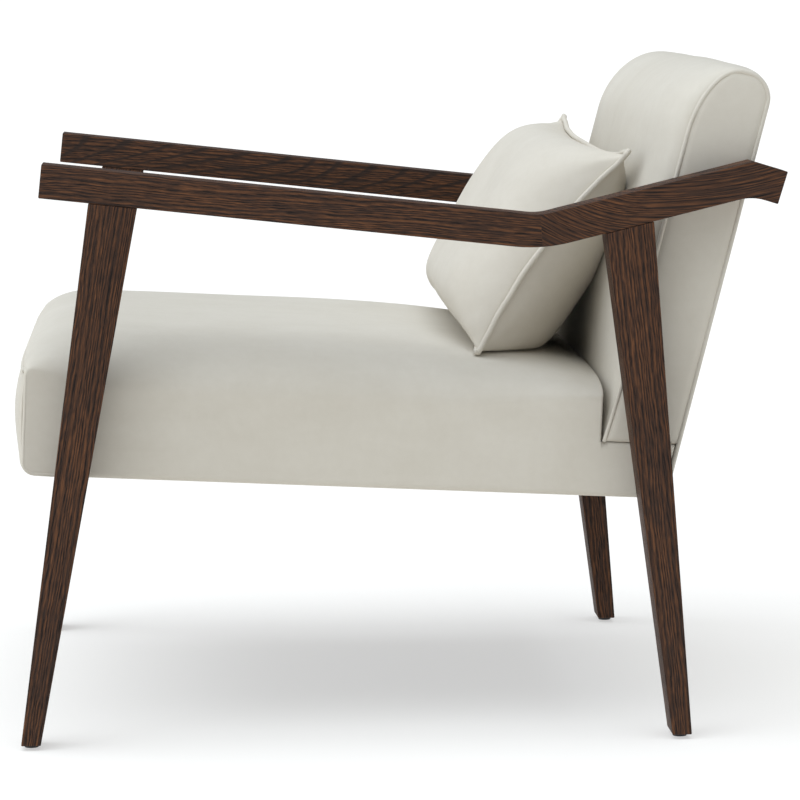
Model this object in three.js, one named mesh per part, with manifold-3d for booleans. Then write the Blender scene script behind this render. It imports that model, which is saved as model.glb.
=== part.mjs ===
// Fireside chair: two dark wooden side frames carry a sprung, upholstered seat and back, with one loose cushion.
// Millimetres. +X is the sitter's left, -Y the front, +Z up. The feet stand on Z = 0.

import * as THREE from 'three';
import { mergeVertices } from 'three/addons/utils/BufferGeometryUtils.js';
import Module from 'manifold-3d';

const wasm = await Module();
wasm.setup();

const degree = Math.PI / 180;

// Overall plan
const overallWidth = 740;
const memberThick = 44; // arms and legs, measured across the chair
const fitGap = 0.3; // air left between pieces that meet
const overcut = 4; // how far a cutting tool runs past what it cuts

// Arms: a front board that falls to the rear, a rear board that climbs and ends in a short drooping tail
const armTopFront = 610; // height of the top front corner
const armFrontSetback = 21; // front end, behind the centre of the front glide
const kneeAdvance = 149; // first knee, ahead of the centre of the rear glide
const armDepth = 35;
const armFall = 57;
const armRiseRun = 221;
const armRise = 53.5;
const armTailRun = 36;
const armTailDrop = 11;
const kneeTopRadius = 60;
const kneeUnderRadius = 170;
const tailTopRadius = 4;
const tailUnderRadius = 50;

// Legs taper from the arm down to a narrow foot
const legTopWidth = 50;
const legFootWidth = 20.5;
const legFootEase = 2;
const frontLegRake = 93; // top centre behind the foot
const rearLegRake = 56; // top centre ahead of the foot

// Loose tenons
const tenonThick = 12;
const tenonWidth = 27;
const tenonInLeg = 28;
const tenonInArm = 19;
const kneeTenonHeight = 16;
const kneeTenonHalfLength = 30;

// Glides: a plastic disc with a nail
const glideRadius = 7.5;
const glideHeight = 5;
const glideEase = 0.8;
const nailRadius = 1.5;
const nailLength = 18;

// Seat, in its own frame: Y runs back along its underside, Z square to it
const seatBottomFront = 283.2; // height of the lower front edge
const seatFrontReach = 8; // lower front edge, ahead of the centre of the front glide
const seatFallAngle = 2.9 * degree;
const seatSideHeight = 116;
const seatCushionDepth = 607;
const rearFootReach = 75; // centre of the rear glide, beyond the seat cushion's depth from the front glide
const seatLedgeHeight = 58;
const seatCrown = 40;
const seatCrownRearShare = 0.45;
const seatCrownFullShare = 0.41; // share of the depth after which the crown fades
const seatFrontBulge = 14;
const bulgeSweepShare = 0.85; // share of a half wave that the front bulge runs through
const bandHeight = 110;
const seatRollDepth = 62;
const seatLowerRadius = 14;
const coverThick = 3;

// Seat frame and springing
const railThick = 22;
const railSetback = 18; // front rail, behind the band
const dustThick = 1.4;
const springCount = 5;
const springWaves = 7;
const springWire = 3.6;
const springSwing = 32;
const clipHeight = 5;
const clipWidth = 44;
const clipDepth = 14;
const feltThick = 3;

// Piping
const seatWeltRadius = 2.1;
const backWeltRadius = 2.4;
const weltSeat = 5.3; // width kept free for piping along an edge

// Back, in its own frame: Y runs rearwards through its thickness, Z up its front face
const backRecline = 14.5 * degree;
const backHeight = 410;
const backThick = 79;
const backFrontRollHeight = 82;
const backFrontRollDepth = 44;
const backRearRollRadius = 30;
const backFrontCrown = 34;
const backCrownRise = 235; // height over which the front crown grows
const backTopCrown = 9;
const backRearCrown = 4;
const backSeatingGap = 4; // air between the foot of the back and the seat cushion
const backFlapDrop = 57; // rear cloth hangs this far below the foot, over the end of the seat frame

// Frame of the back
const uprightFront = 12;
const uprightTopPadding = 44; // from the uprights' top to the top of the back
const backRailHeight = 50;
const backRailDepth = 24;
const backMiddleRail = 150; // lower edge of the middle rail
const strapCount = 4;
const strapWidth = 50;
const strapThick = 2;
const strapLap = 14;
const strapFirst = 60;
const strapTopClearance = 78; // centre of the highest level strap, below the uprights' top
const uprightStrapCount = 5;
const uprightStrapPitch = 108;

// Coach screws
const screwRadius = 4;
const screwHeadRadius = 7;
const screwHeadHeight = 4.5;
const screwInMember = 28;
const screwHeightShare = 0.62; // height of the leg screws in a seat rail
const rearScrewAdvance = 8; // rear leg screws, ahead of the leg's middle line
const backScrewForward = 44; // screws into the uprights, ahead of the rear end of the seat frame
const backScrewInUpright = 38;

// Loose cushion, in its own frame: Z up its face, Y square to it and to the rear
const cushionWidth = 530;
const cushionHeight = 272;
const cushionLean = 33.3 * degree;
const cushionFrontLoft = 82;
const cushionRearLoft = 54;
const cushionEndPullShare = 0.07;
const cushionEdgePullShare = 0.08;
const cushionCornerShare = 0.012;
const cushionBow = 12;
const cushionClothThick = 2;
const domeAcrossPower = 2.6;
const domeUpPower = 2.4;
const domePower = 0.8;
const pipingRadius = 3;

// How finely the curves are cut
const arcSteps = 6;
const lowerSteps = 3;
const bandSteps = 4;
const rollSteps = 7;
const rollSpread = 1.3;
const topSteps = 6;
const seatStations = 16;
const foamStations = 12;
const backStations = 14;
const tubeSides = 6;
const wireSides = 4;
const screwSides = 12;
const boreSides = 12;
const cushionAcross = 14;
const cushionUp = 10;
const springStepsPerWave = 4;
const glideSides = 16;

// How many outer rows of the cushion's grid its filling leaves out
const fillingTrim = 1;

// Places that follow from the sizes above
const footSpan = seatCushionDepth + rearFootReach; // front glide centre to rear glide centre
const armFallRun = footSpan - armFrontSetback - kneeAdvance;
const uprightTop = backHeight - uprightTopPadding;
const strapPitch = (uprightTop - strapTopClearance - strapFirst) / (strapCount - 1);
const innerFace = overallWidth / 2 - memberThick;
const softHalf = innerFace - fitGap;
const memberMiddle = overallWidth / 2 - memberThick / 2;
const railOuter = softHalf - coverThick - fitGap;
const railInner = railOuter - railThick;
const railLow = coverThick + fitGap;
const railHigh = seatLedgeHeight - coverThick - fitGap;
const clipTop = railHigh + clipHeight;
const springHeight = clipTop + fitGap + springWire / 2;
const feltLow = springHeight + springWire / 2 + fitGap;
const foamFloor = feltLow + feltThick + fitGap;
const wrapHalf = softHalf - weltSeat;
const uprightRear = backThick - weltSeat - fitGap;

const finishes = {
  wood: { color: 0x3c2a20, roughness: 0.5, metalness: 0 },
  beech: { color: 0xc8a77c, roughness: 0.7, metalness: 0 },
  velvet: { color: 0xd8d6cc, roughness: 0.9, metalness: 0 },
  foam: { color: 0xe9dfae, roughness: 0.95, metalness: 0 },
  felt: { color: 0x8f8b84, roughness: 0.95, metalness: 0 },
  fibre: { color: 0xf2f1ec, roughness: 0.98, metalness: 0 },
  webbing: { color: 0x6b5f4c, roughness: 0.95, metalness: 0 },
  blackCloth: { color: 0x1c1c1e, roughness: 0.95, metalness: 0 },
  plastic: { color: 0x202020, roughness: 0.5, metalness: 0 },
  steel: { color: 0x9a9da1, roughness: 0.35, metalness: 1 },
};

// Turns a closed geometry into a solid that can be joined and cut.
function toSolid(geometry) {
  const bare = geometry.index ? geometry.toNonIndexed() : geometry.clone();
  bare.deleteAttribute('normal');
  bare.deleteAttribute('uv');
  const merged = mergeVertices(bare);
  const vertProperties = new Float32Array(merged.attributes.position.array);
  const triVerts = new Uint32Array(merged.index.array);
  return new wasm.Manifold(new wasm.Mesh({ numProp: 3, vertProperties, triVerts }));
}

// Turns a solid back into a geometry.
function toGeometry(solid) {
  const mesh = solid.getMesh();
  const geometry = new THREE.BufferGeometry();
  geometry.setAttribute('position', new THREE.BufferAttribute(new Float32Array(mesh.vertProperties), 3));
  geometry.setIndex(new THREE.BufferAttribute(new Uint32Array(mesh.triVerts), 1));
  geometry.computeVertexNormals();
  return geometry;
}

// Cuts tool geometries out of a geometry.
function cut(geometry, tools) {
  return toGeometry(tools.reduce((solid, tool) => solid.subtract(toSolid(tool)), toSolid(geometry)));
}

// Keeps only what lies inside a tool geometry.
function keep(geometry, tool) {
  return toGeometry(toSolid(geometry).intersect(toSolid(tool)));
}

// Joins geometries that run into each other.
function join(geometries) {
  return toGeometry(geometries.map(toSolid).reduce((whole, solid) => whole.add(solid)));
}

// A box given by its low and high corners.
function boxBetween(low, high) {
  const box = new THREE.BoxGeometry(high[0] - low[0], high[1] - low[1], high[2] - low[2]);
  return box.translate((low[0] + high[0]) / 2, (low[1] + high[1]) / 2, (low[2] + high[2]) / 2);
}

// Extrudes an outline drawn in Y and Z across the chair, from x = low to x = high.
function slab(points, low, high) {
  const geometry = new THREE.ExtrudeGeometry(new THREE.Shape(points),
    { depth: high - low, bevelEnabled: false, steps: 1 });
  const turn = new THREE.Matrix4().set(0, 0, 1, low, 1, 0, 0, 0, 0, 1, 0, 0, 0, 0, 0, 1);
  return geometry.applyMatrix4(turn);
}

// A solid skinned over outlines in Y and Z, one at each x. Outlines run anticlockwise seen from +X.
function loft(outlines, xs) {
  const count = outlines[0].length;
  const last = outlines.length - 1;
  const positions = [];
  outlines.forEach((outline, k) => outline.forEach((p) => positions.push(xs[k], p.x, p.y)));
  const indices = [];
  for (let k = 0; k < last; k += 1) {
    for (let i = 0; i < count; i += 1) {
      const a = k * count + i;
      const b = k * count + ((i + 1) % count);
      indices.push(a, b, b + count, a, b + count, a + count);
    }
  }
  for (const [a, b, c] of THREE.ShapeUtils.triangulateShape(outlines[0], [])) indices.push(c, b, a);
  for (const triangle of THREE.ShapeUtils.triangulateShape(outlines[last], [])) {
    indices.push(...triangle.map((i) => last * count + i));
  }
  const geometry = new THREE.BufferGeometry();
  geometry.setAttribute('position', new THREE.Float32BufferAttribute(positions, 3));
  geometry.setIndex(indices);
  geometry.computeVertexNormals();
  return geometry;
}

// A round bar through a row of places, closed at both ends.
function sweep(path, radius, sides) {
  const last = path.length - 1;
  const steps = path.slice(1).map((point, i) => point.clone().sub(path[i]).normalize());
  const first = steps[0];
  const normal = Math.abs(first.x) < Math.SQRT1_2 ? new THREE.Vector3(1, 0, 0) : new THREE.Vector3(0, 0, 1);
  const positions = [];
  path.forEach((point, i) => {
    const tangent = steps[Math.max(i - 1, 0)].clone().add(steps[Math.min(i, last - 1)]).normalize();
    normal.addScaledVector(tangent, -normal.dot(tangent)).normalize();
    const binormal = tangent.clone().cross(normal);
    for (let k = 0; k < sides; k += 1) {
      const angle = (2 * Math.PI * k) / sides;
      const spoke = normal.clone().multiplyScalar(Math.cos(angle)).addScaledVector(binormal, Math.sin(angle));
      positions.push(...point.clone().addScaledVector(spoke, radius).toArray());
    }
  });
  const indices = [];
  for (let i = 0; i < last; i += 1) {
    for (let k = 0; k < sides; k += 1) {
      const a = i * sides + k;
      const b = i * sides + ((k + 1) % sides);
      indices.push(a, b, b + sides, a, b + sides, a + sides);
    }
  }
  for (let k = 1; k < sides - 1; k += 1) {
    indices.push(0, k + 1, k);
    indices.push(last * sides, last * sides + k, last * sides + k + 1);
  }
  const geometry = new THREE.BufferGeometry();
  geometry.setAttribute('position', new THREE.Float32BufferAttribute(positions, 3));
  geometry.setIndex(indices);
  geometry.computeVertexNormals();
  return geometry;
}

// Places round the border of a grid, anticlockwise seen from the front, from the middle of the lower edge.
function borderPlaces(across, up) {
  const places = [];
  for (let i = across / 2; i < across; i += 1) places.push([i, 0]);
  for (let j = 0; j < up; j += 1) places.push([across, j]);
  for (let i = across; i > 0; i -= 1) places.push([i, up]);
  for (let j = up; j > 0; j -= 1) places.push([0, j]);
  for (let i = 0; i < across / 2; i += 1) places.push([i, 0]);
  return places;
}

// A solid between a front and a rear grid of points, both across by up, joined round the border.
function padSolid(front, rear, across, up) {
  const place = (i, j) => j * (across + 1) + i;
  const behind = front.length;
  const indices = [];
  for (let j = 0; j < up; j += 1) {
    for (let i = 0; i < across; i += 1) {
      const [a, b, c, d] = [place(i, j), place(i + 1, j), place(i + 1, j + 1), place(i, j + 1)];
      indices.push(a, b, c, a, c, d);
      indices.push(behind + c, behind + b, behind + a, behind + d, behind + c, behind + a);
    }
  }
  const border = borderPlaces(across, up).map(([i, j]) => place(i, j));
  border.forEach((p, k) => {
    const q = border[(k + 1) % border.length];
    indices.push(p, behind + p, behind + q, p, behind + q, q);
  });
  const geometry = new THREE.BufferGeometry();
  const positions = [...front, ...rear].flatMap((p) => p.toArray());
  geometry.setAttribute('position', new THREE.Float32BufferAttribute(positions, 3));
  geometry.setIndex(indices);
  geometry.computeVertexNormals();
  return geometry;
}

// Moves the points of an anticlockwise line inwards by the same amount; the line may be closed or open.
function inset(points, amount, closed = true) {
  const count = points.length;
  return points.map((p, i) => {
    const before = closed || i > 0 ? points[(i + count - 1) % count] : null;
    const after = closed || i < count - 1 ? points[(i + 1) % count] : null;
    const inward = before ? p.clone().sub(before).normalize() : after.clone().sub(p).normalize();
    const onward = after ? after.clone().sub(p).normalize() : inward;
    const normal = new THREE.Vector2(-inward.y, inward.x);
    const mitre = normal.clone().add(new THREE.Vector2(-onward.y, onward.x)).normalize();
    return p.clone().addScaledVector(mitre, amount / mitre.dot(normal));
  });
}

// The meeting point of two lines, each given by a point and a direction.
function meet(pointA, directionA, pointB, directionB) {
  const cross = directionA.x * directionB.y - directionA.y * directionB.x;
  const between = pointB.clone().sub(pointA);
  const along = (between.x * directionB.y - between.y * directionB.x) / cross;
  return pointA.clone().addScaledVector(directionA, along);
}

// Replaces a corner between two neighbours by an arc.
function fillet(before, corner, after, radius, steps) {
  const back = before.clone().sub(corner).normalize();
  const ahead = after.clone().sub(corner).normalize();
  const half = Math.acos(back.dot(ahead)) / 2;
  const middle = back.clone().add(ahead).normalize();
  const centre = corner.clone().addScaledVector(middle, radius / Math.sin(half));
  const from = corner.clone().addScaledVector(back, radius / Math.tan(half)).sub(centre);
  const to = corner.clone().addScaledVector(ahead, radius / Math.tan(half)).sub(centre);
  const turn = Math.atan2(from.x * to.y - from.y * to.x, from.dot(to));
  const origin = new THREE.Vector2();
  return Array.from({ length: steps + 1 }, (_, i) => (
    from.clone().rotateAround(origin, (turn * i) / steps).add(centre)));
}

// Full over the middle of a width and none at its sides, with a soft roll between.
function rollShare(across) {
  return Math.sqrt(Math.max(0, 1 - across ** 4));
}

// Stations from -1 to 1, closer together towards the ends.
function stations(count) {
  return Array.from({ length: count + 1 }, (_, i) => Math.sin(Math.PI * (i / count - 1 / 2)));
}

function piece(name, geometry, finish) {
  const mesh = new THREE.Mesh(geometry, new THREE.MeshStandardMaterial(finish));
  mesh.name = name;
  return mesh;
}

// Turns a geometry on the left into its twin on the right, with its faces still pointing out.
function onSide(geometry, side) {
  if (side > 0) return geometry;
  const twin = geometry.index ? geometry.toNonIndexed() : geometry.clone();
  twin.scale(-1, 1, 1);
  const position = twin.attributes.position;
  for (let i = 0; i < position.count; i += 3) {
    const corner = new THREE.Vector3().fromBufferAttribute(position, i);
    position.setXYZ(i, position.getX(i + 1), position.getY(i + 1), position.getZ(i + 1));
    position.setXYZ(i + 1, corner.x, corner.y, corner.z);
  }
  twin.computeVertexNormals();
  return twin;
}

// Places of the seat and the back

const seatGroup = new THREE.Group();
seatGroup.position.set(0, -footSpan / 2 - seatFrontReach, seatBottomFront);
seatGroup.rotation.x = -seatFallAngle;
seatGroup.updateMatrixWorld();

const backGroup = new THREE.Group();
backGroup.position.set(0, seatCushionDepth + backSeatingGap, seatLedgeHeight + fitGap);
backGroup.position.applyMatrix4(seatGroup.matrixWorld);
backGroup.rotation.x = -backRecline;
backGroup.updateMatrixWorld();

// Carries a place in Y and Z from the chair into a turned group.
function intoGroup(place, group) {
  const local = group.worldToLocal(new THREE.Vector3(0, place.x, place.y));
  return new THREE.Vector2(local.y, local.z);
}

// Carries a place in Y and Z from a turned group into the chair.
function outOfGroup(place, group) {
  const world = group.localToWorld(new THREE.Vector3(0, place.x, place.y));
  return new THREE.Vector2(world.y, world.z);
}

// Side frames

// Top edge of the arm: front corner, first knee, second knee, tail end.
function armTopCorners() {
  const front = new THREE.Vector2(armFrontSetback - footSpan / 2, armTopFront);
  const knee = front.clone().add(new THREE.Vector2(armFallRun, -armFall));
  const crest = knee.clone().add(new THREE.Vector2(armRiseRun, armRise));
  const tail = crest.clone().add(new THREE.Vector2(armTailRun, -armTailDrop));
  return [front, knee, crest, tail];
}

// Underside of the arm, one arm's depth below the top edge.
function armUnderCorners() {
  const top = armTopCorners();
  const directions = [0, 1, 2].map((i) => top[i + 1].clone().sub(top[i]).normalize());
  const downs = directions.map((d) => new THREE.Vector2(d.y, -d.x).multiplyScalar(armDepth));
  const starts = downs.map((down, i) => top[i].clone().add(down));
  const knee = meet(starts[0], directions[0], starts[1], directions[1]);
  const crest = meet(starts[1], directions[1], starts[2], directions[2]);
  return [starts[0], knee, crest, top[3].clone().add(downs[2])];
}

// Height of the arm's straight underside at a place along the chair.
function underArmHeight(y) {
  const low = armUnderCorners();
  const part = y < low[1].x ? 0 : 1;
  const share = (y - low[part].x) / (low[part + 1].x - low[part].x);
  return THREE.MathUtils.lerp(low[part].y, low[part + 1].y, share);
}

function armOutline() {
  const top = armTopCorners();
  const low = armUnderCorners();
  return [
    low[0],
    ...fillet(low[0], low[1], low[2], kneeUnderRadius, arcSteps),
    ...fillet(low[1], low[2], low[3], tailUnderRadius, arcSteps),
    low[3],
    top[3],
    ...fillet(top[3], top[2], top[1], tailTopRadius, 2),
    ...fillet(top[2], top[1], top[0], kneeTopRadius, arcSteps),
    top[0],
  ];
}

// The mitre through the first knee: its middle, its upward line and the way to the rear.
function kneeFrame() {
  const top = armTopCorners()[1];
  const low = armUnderCorners()[1];
  const up = top.clone().sub(low).normalize();
  return { middle: top.clone().add(low).divideScalar(2), up, along: new THREE.Vector2(up.y, -up.x) };
}

// Everything on one side of the mitre: -1 for the front board, 1 for the rear board.
function kneeBlock(direction) {
  const { middle, up, along } = kneeFrame();
  const near = middle.clone().addScaledVector(along, (direction * fitGap) / 2);
  const far = near.clone().addScaledVector(along, direction * overallWidth);
  const corners = [[near, -1], [near, 1], [far, 1], [far, -1]].map(([place, way]) => (
    place.clone().addScaledVector(up, way * overallWidth / 2)));
  return slab(corners, innerFace - overcut, overallWidth / 2 + overcut);
}

// A block whose long axis follows a direction in Y and Z, centred across the member.
function leaningBlock(centre, direction, thick, width, low, high) {
  const block = boxBetween([-thick / 2, -width / 2, low], [thick / 2, width / 2, high]);
  block.rotateX(Math.atan2(-direction.x, direction.y));
  return block.translate(memberMiddle, centre.x, centre.y);
}

// Foot, top and lean of a leg's middle line.
function legLine(isFront) {
  const foot = new THREE.Vector2(isFront ? -footSpan / 2 : footSpan / 2, glideHeight);
  const topY = isFront ? foot.x + frontLegRake : foot.x - rearLegRake;
  const top = new THREE.Vector2(topY, underArmHeight(topY) - fitGap);
  return { foot, top, lean: top.clone().sub(foot).normalize() };
}

function legTenon(isFront, clearance) {
  const { top, lean } = legLine(isFront);
  return leaningBlock(top, lean, tenonThick + 2 * clearance, tenonWidth + 2 * clearance,
    -tenonInLeg - clearance, tenonInArm + clearance);
}

function kneeTenon(clearance) {
  const { middle, along } = kneeFrame();
  return leaningBlock(middle, along, tenonThick + 2 * clearance, kneeTenonHeight + 2 * clearance,
    -kneeTenonHalfLength - clearance, kneeTenonHalfLength + clearance);
}

// The bore for a glide's nail, open at the foot.
function nailBore(isFront) {
  const { foot } = legLine(isFront);
  const depth = nailLength + fitGap;
  const bore = new THREE.CylinderGeometry(nailRadius + fitGap, nailRadius + fitGap, depth + overcut, boreSides);
  return bore.rotateX(Math.PI / 2).translate(memberMiddle, foot.x, foot.y + (depth - overcut) / 2);
}

function legOutline(isFront) {
  const { foot, top } = legLine(isFront);
  const frontTop = top.x - legTopWidth / 2;
  const rearTop = top.x + legTopWidth / 2;
  const corners = [
    new THREE.Vector2(foot.x - legFootWidth / 2, foot.y),
    new THREE.Vector2(foot.x + legFootWidth / 2, foot.y),
    new THREE.Vector2(rearTop, underArmHeight(rearTop) - fitGap),
    new THREE.Vector2(frontTop, underArmHeight(frontTop) - fitGap),
  ];
  return [
    ...fillet(corners[3], corners[0], corners[1], legFootEase, 2),
    ...fillet(corners[0], corners[1], corners[2], legFootEase, 2),
    corners[2],
    corners[3],
  ];
}

// Screws that tie the upholstered frames to the side frames

// The screw of a leg, on its middle line, seen from the side.
function legScrewPlace(isFront) {
  const { foot, lean } = legLine(isFront);
  const level = outOfGroup(new THREE.Vector2(1, 0), seatGroup).sub(outOfGroup(new THREE.Vector2(), seatGroup));
  const height = THREE.MathUtils.lerp(railLow, railHigh, screwHeightShare);
  const place = meet(foot, lean, outOfGroup(new THREE.Vector2(0, height), seatGroup), level);
  return isFront ? place : place.addScaledVector(level, -rearScrewAdvance);
}

// The arm's screw lies where its rear board crosses the middle of the back's upright.
function armScrewPlace() {
  const top = armTopCorners();
  const low = armUnderCorners();
  const along = top[2].clone().sub(top[1]).normalize();
  const centre = top[1].clone().add(low[1]).divideScalar(2);
  const middle = (uprightFront + uprightRear) / 2;
  const foot = outOfGroup(new THREE.Vector2(middle, 0), backGroup);
  const head = outOfGroup(new THREE.Vector2(middle, uprightTop), backGroup);
  return meet(centre, along, foot, head.sub(foot).normalize());
}

const legScrews = [legScrewPlace(true), legScrewPlace(false)];
const armScrew = armScrewPlace();

// A turned body that stands up from Z = 0, from pairs of radius and height.
function turned(profile, sides) {
  const points = profile.map(([radius, height]) => new THREE.Vector2(radius, height));
  return new THREE.LatheGeometry(points, sides).rotateX(Math.PI / 2);
}

// A screw that stands up from its head.
function standingScrew(shankLength) {
  const top = screwHeadHeight + shankLength;
  return turned([[0, 0], [screwHeadRadius, 0], [screwHeadRadius, screwHeadHeight], [screwRadius, screwHeadHeight],
    [screwRadius, top], [0, top]], screwSides);
}

function crossScrew(place, side) {
  const length = railThick + 2 * fitGap + coverThick + fitGap + screwInMember;
  const screw = standingScrew(length).rotateY((side * Math.PI) / 2);
  return screw.translate(side * (railInner - fitGap - screwHeadHeight), place.x, place.y);
}

// A round cutting bar across the chair.
function crossBar(radius, low, high, place) {
  const rod = new THREE.CylinderGeometry(radius, radius, high - low, boreSides);
  return rod.rotateZ(Math.PI / 2).translate((low + high) / 2, place.x, place.y);
}

// The bore for a cross screw, from inside the upholstered frames to its end in a leg or arm.
function screwBore(place) {
  return crossBar(screwRadius + 2 * fitGap, railInner - overcut, innerFace + screwInMember + fitGap, place);
}

function headBore(place) {
  return crossBar(screwHeadRadius + 2 * fitGap, railInner - screwHeadHeight - 2 * fitGap, railInner + overcut, place);
}

// The same tools on both sides of the chair, carried into a turned group.
function toolsInGroup(tools, group) {
  const inverse = group.matrixWorld.clone().invert();
  return [1, -1].flatMap((side) => tools.map((tool) => onSide(tool.clone(), side).applyMatrix4(inverse)));
}

function makeScrews() {
  const places = { front_leg: legScrews[0], rear_leg: legScrews[1], arm: armScrew };
  return [[1, 'left'], [-1, 'right']].flatMap(([side, word]) => Object.entries(places).map(([member, place]) => (
    piece(`${member}_screw_${word}`, crossScrew(place, side), finishes.steel))));
}

function makeGlide(isFront, side) {
  const disc = glideHeight - fitGap;
  const top = glideHeight + nailLength;
  const glide = turned([[0, 0], [glideRadius - glideEase, 0], [glideRadius, glideEase], [glideRadius, disc],
    [nailRadius, disc], [nailRadius, top], [0, top]], glideSides);
  return glide.translate(side * memberMiddle, legLine(isFront).foot.x, 0);
}

function makeLeg(isFront) {
  const screw = legScrews[isFront ? 0 : 1];
  const tools = [legTenon(isFront, fitGap), nailBore(isFront), screwBore(screw)];
  return cut(slab(legOutline(isFront), innerFace, overallWidth / 2), tools);
}

function makeArmBoards() {
  const tools = [legTenon(true, fitGap), legTenon(false, fitGap), kneeTenon(fitGap), screwBore(armScrew)];
  const arm = cut(slab(armOutline(), innerFace, overallWidth / 2), tools);
  return { front: keep(arm, kneeBlock(-1)), rear: keep(arm, kneeBlock(1)) };
}

function makeSideFrame(side, word) {
  const frame = new THREE.Group();
  for (const [end, isFront] of [['front', true], ['rear', false]]) {
    frame.add(piece(`${end}_leg_${word}`, onSide(makeLeg(isFront), side), finishes.wood));
    frame.add(piece(`${end}_leg_tenon_${word}`, onSide(legTenon(isFront, 0), side), finishes.beech));
    frame.add(piece(`${end}_glide_${word}`, makeGlide(isFront, side), finishes.plastic));
  }
  const boards = makeArmBoards();
  frame.add(piece(`arm_front_${word}`, onSide(boards.front, side), finishes.wood));
  frame.add(piece(`arm_rear_${word}`, onSide(boards.rear, side), finishes.wood));
  frame.add(piece(`arm_tenon_${word}`, onSide(kneeTenon(0), side), finishes.beech));
  return frame;
}

// Seat

// The seat frame ends in line with the rear of the back, just inside its piping.
function seatRearEdge() {
  const depth = backThick - weltSeat - fitGap;
  const high = intoGroup(outOfGroup(new THREE.Vector2(depth, backHeight), backGroup), seatGroup);
  const low = intoGroup(outOfGroup(new THREE.Vector2(depth, 0), backGroup), seatGroup);
  const lean = high.clone().sub(low).normalize();
  const level = new THREE.Vector2(1, 0);
  return {
    bottom: meet(low, lean, new THREE.Vector2(), level),
    ledge: meet(low, lean, new THREE.Vector2(0, seatLedgeHeight), level),
  };
}

// Place of the seat frame's rear edge at a height.
function seatRearAt(height) {
  const { bottom, ledge } = seatRearEdge();
  return THREE.MathUtils.lerp(bottom.x, ledge.x, height / seatLedgeHeight);
}

// Height of the crown along the seat: full over the front part, fading to the rear.
function seatCrownAt(y) {
  const fadeStart = seatCushionDepth * seatCrownFullShare;
  const past = Math.max(0, (y - fadeStart) / (seatCushionDepth - fadeStart));
  return seatCrown * (1 - (1 - seatCrownRearShare) * past * past);
}

// How far the front of the seat stands out at a height, for a share of the full bulge.
function seatBulgeAt(height, share) {
  return -seatFrontBulge * share * Math.sin((Math.PI * bulgeSweepShare * height) / bandHeight);
}

// Outline of the seat at one station, anticlockwise, with a share of the full crown and bulge.
function seatOutline(share) {
  const line = [];
  for (let i = 0; i <= lowerSteps; i += 1) {
    const angle = (Math.PI / 2) * (i / lowerSteps);
    const height = seatLowerRadius * (1 - Math.cos(angle));
    line.push(new THREE.Vector2(seatLowerRadius * (1 - Math.sin(angle)) + seatBulgeAt(height, share), height));
  }
  for (let i = 1; i <= bandSteps; i += 1) {
    const height = THREE.MathUtils.lerp(seatLowerRadius, bandHeight, i / bandSteps);
    line.push(new THREE.Vector2(seatBulgeAt(height, share), height));
  }
  const rollTop = seatSideHeight + share * seatCrownAt(seatRollDepth);
  for (let i = 1; i <= rollSteps; i += 1) {
    const run = (i / rollSteps) ** rollSpread;
    const y = THREE.MathUtils.lerp(seatBulgeAt(bandHeight, share), seatRollDepth, run);
    line.push(new THREE.Vector2(y, THREE.MathUtils.lerp(bandHeight, rollTop, Math.sqrt(1 - (1 - run) ** 2))));
  }
  for (let i = 1; i <= topSteps; i += 1) {
    const y = THREE.MathUtils.lerp(seatRollDepth, seatCushionDepth, i / topSteps);
    line.push(new THREE.Vector2(y, seatSideHeight + share * seatCrownAt(y)));
  }
  const rear = seatRearEdge();
  line.push(new THREE.Vector2(seatCushionDepth, seatLedgeHeight), rear.ledge, rear.bottom);
  return line.reverse();
}

// The whole crowned seat, drawn in by an amount on every side.
function seatBody(amount, count) {
  const shares = stations(count);
  const outlines = shares.map((share) => inset(seatOutline(rollShare(share)), amount));
  return loft(outlines, shares.map((share) => share * (softHalf - amount)));
}

function makeSeatCover() {
  const across = softHalf + overcut;
  const front = boxBetween([-across, -seatFrontBulge - overcut, -overcut],
    [across, railSetback, bandHeight + weltSeat / 2]);
  const frontCut = cut(front, [slab(inset(seatOutline(0), weltSeat), -across - overcut, across + overcut)]);
  const mouth = boxBetween([coverThick - softHalf, -seatFrontBulge, -overcut],
    [softHalf - coverThick, seatRearEdge().bottom.x - 2 * coverThick, seatLowerRadius]);
  const bores = toolsInGroup(legScrews.map(screwBore), seatGroup);
  const tools = [seatBody(coverThick, seatStations), frontCut, mouth, ...bores, ...backScrewBores()];
  return piece('seat_cover', cut(seatBody(0, seatStations), tools), finishes.velvet);
}

// The front band turns under the front rail.
function makeFrontBand() {
  const shell = cut(seatBody(0, seatStations), [seatBody(coverThick, seatStations)]);
  const zone = boxBetween([-wrapHalf, -seatFrontBulge - overcut, -overcut],
    [wrapHalf, railSetback + railThick, bandHeight - weltSeat / 2]);
  return piece('seat_front_band', keep(shell, zone), finishes.velvet);
}

// The piping round the band: up one corner, across below the roll and down the other corner.
function makeBandPiping() {
  const depth = seatWeltRadius + fitGap;
  const side = softHalf - depth;
  const up = [new THREE.Vector3(side, railSetback - fitGap, depth)];
  for (let i = 0; i <= lowerSteps; i += 1) {
    const angle = (Math.PI / 2) * (i / lowerSteps);
    up.push(new THREE.Vector3(side, seatLowerRadius - (seatLowerRadius - depth) * Math.sin(angle),
      seatLowerRadius - (seatLowerRadius - depth) * Math.cos(angle)));
  }
  up.push(new THREE.Vector3(side, depth, bandHeight));
  const across = stations(seatStations).slice(1, -1).reverse().map((share) => (
    new THREE.Vector3(share * side, depth + seatBulgeAt(bandHeight, rollShare(share)), bandHeight)));
  const down = up.map((p) => new THREE.Vector3(-p.x, p.y, p.z)).reverse();
  return piece('seat_band_piping', sweep([...up, ...across, ...down], seatWeltRadius, tubeSides), finishes.velvet);
}

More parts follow.
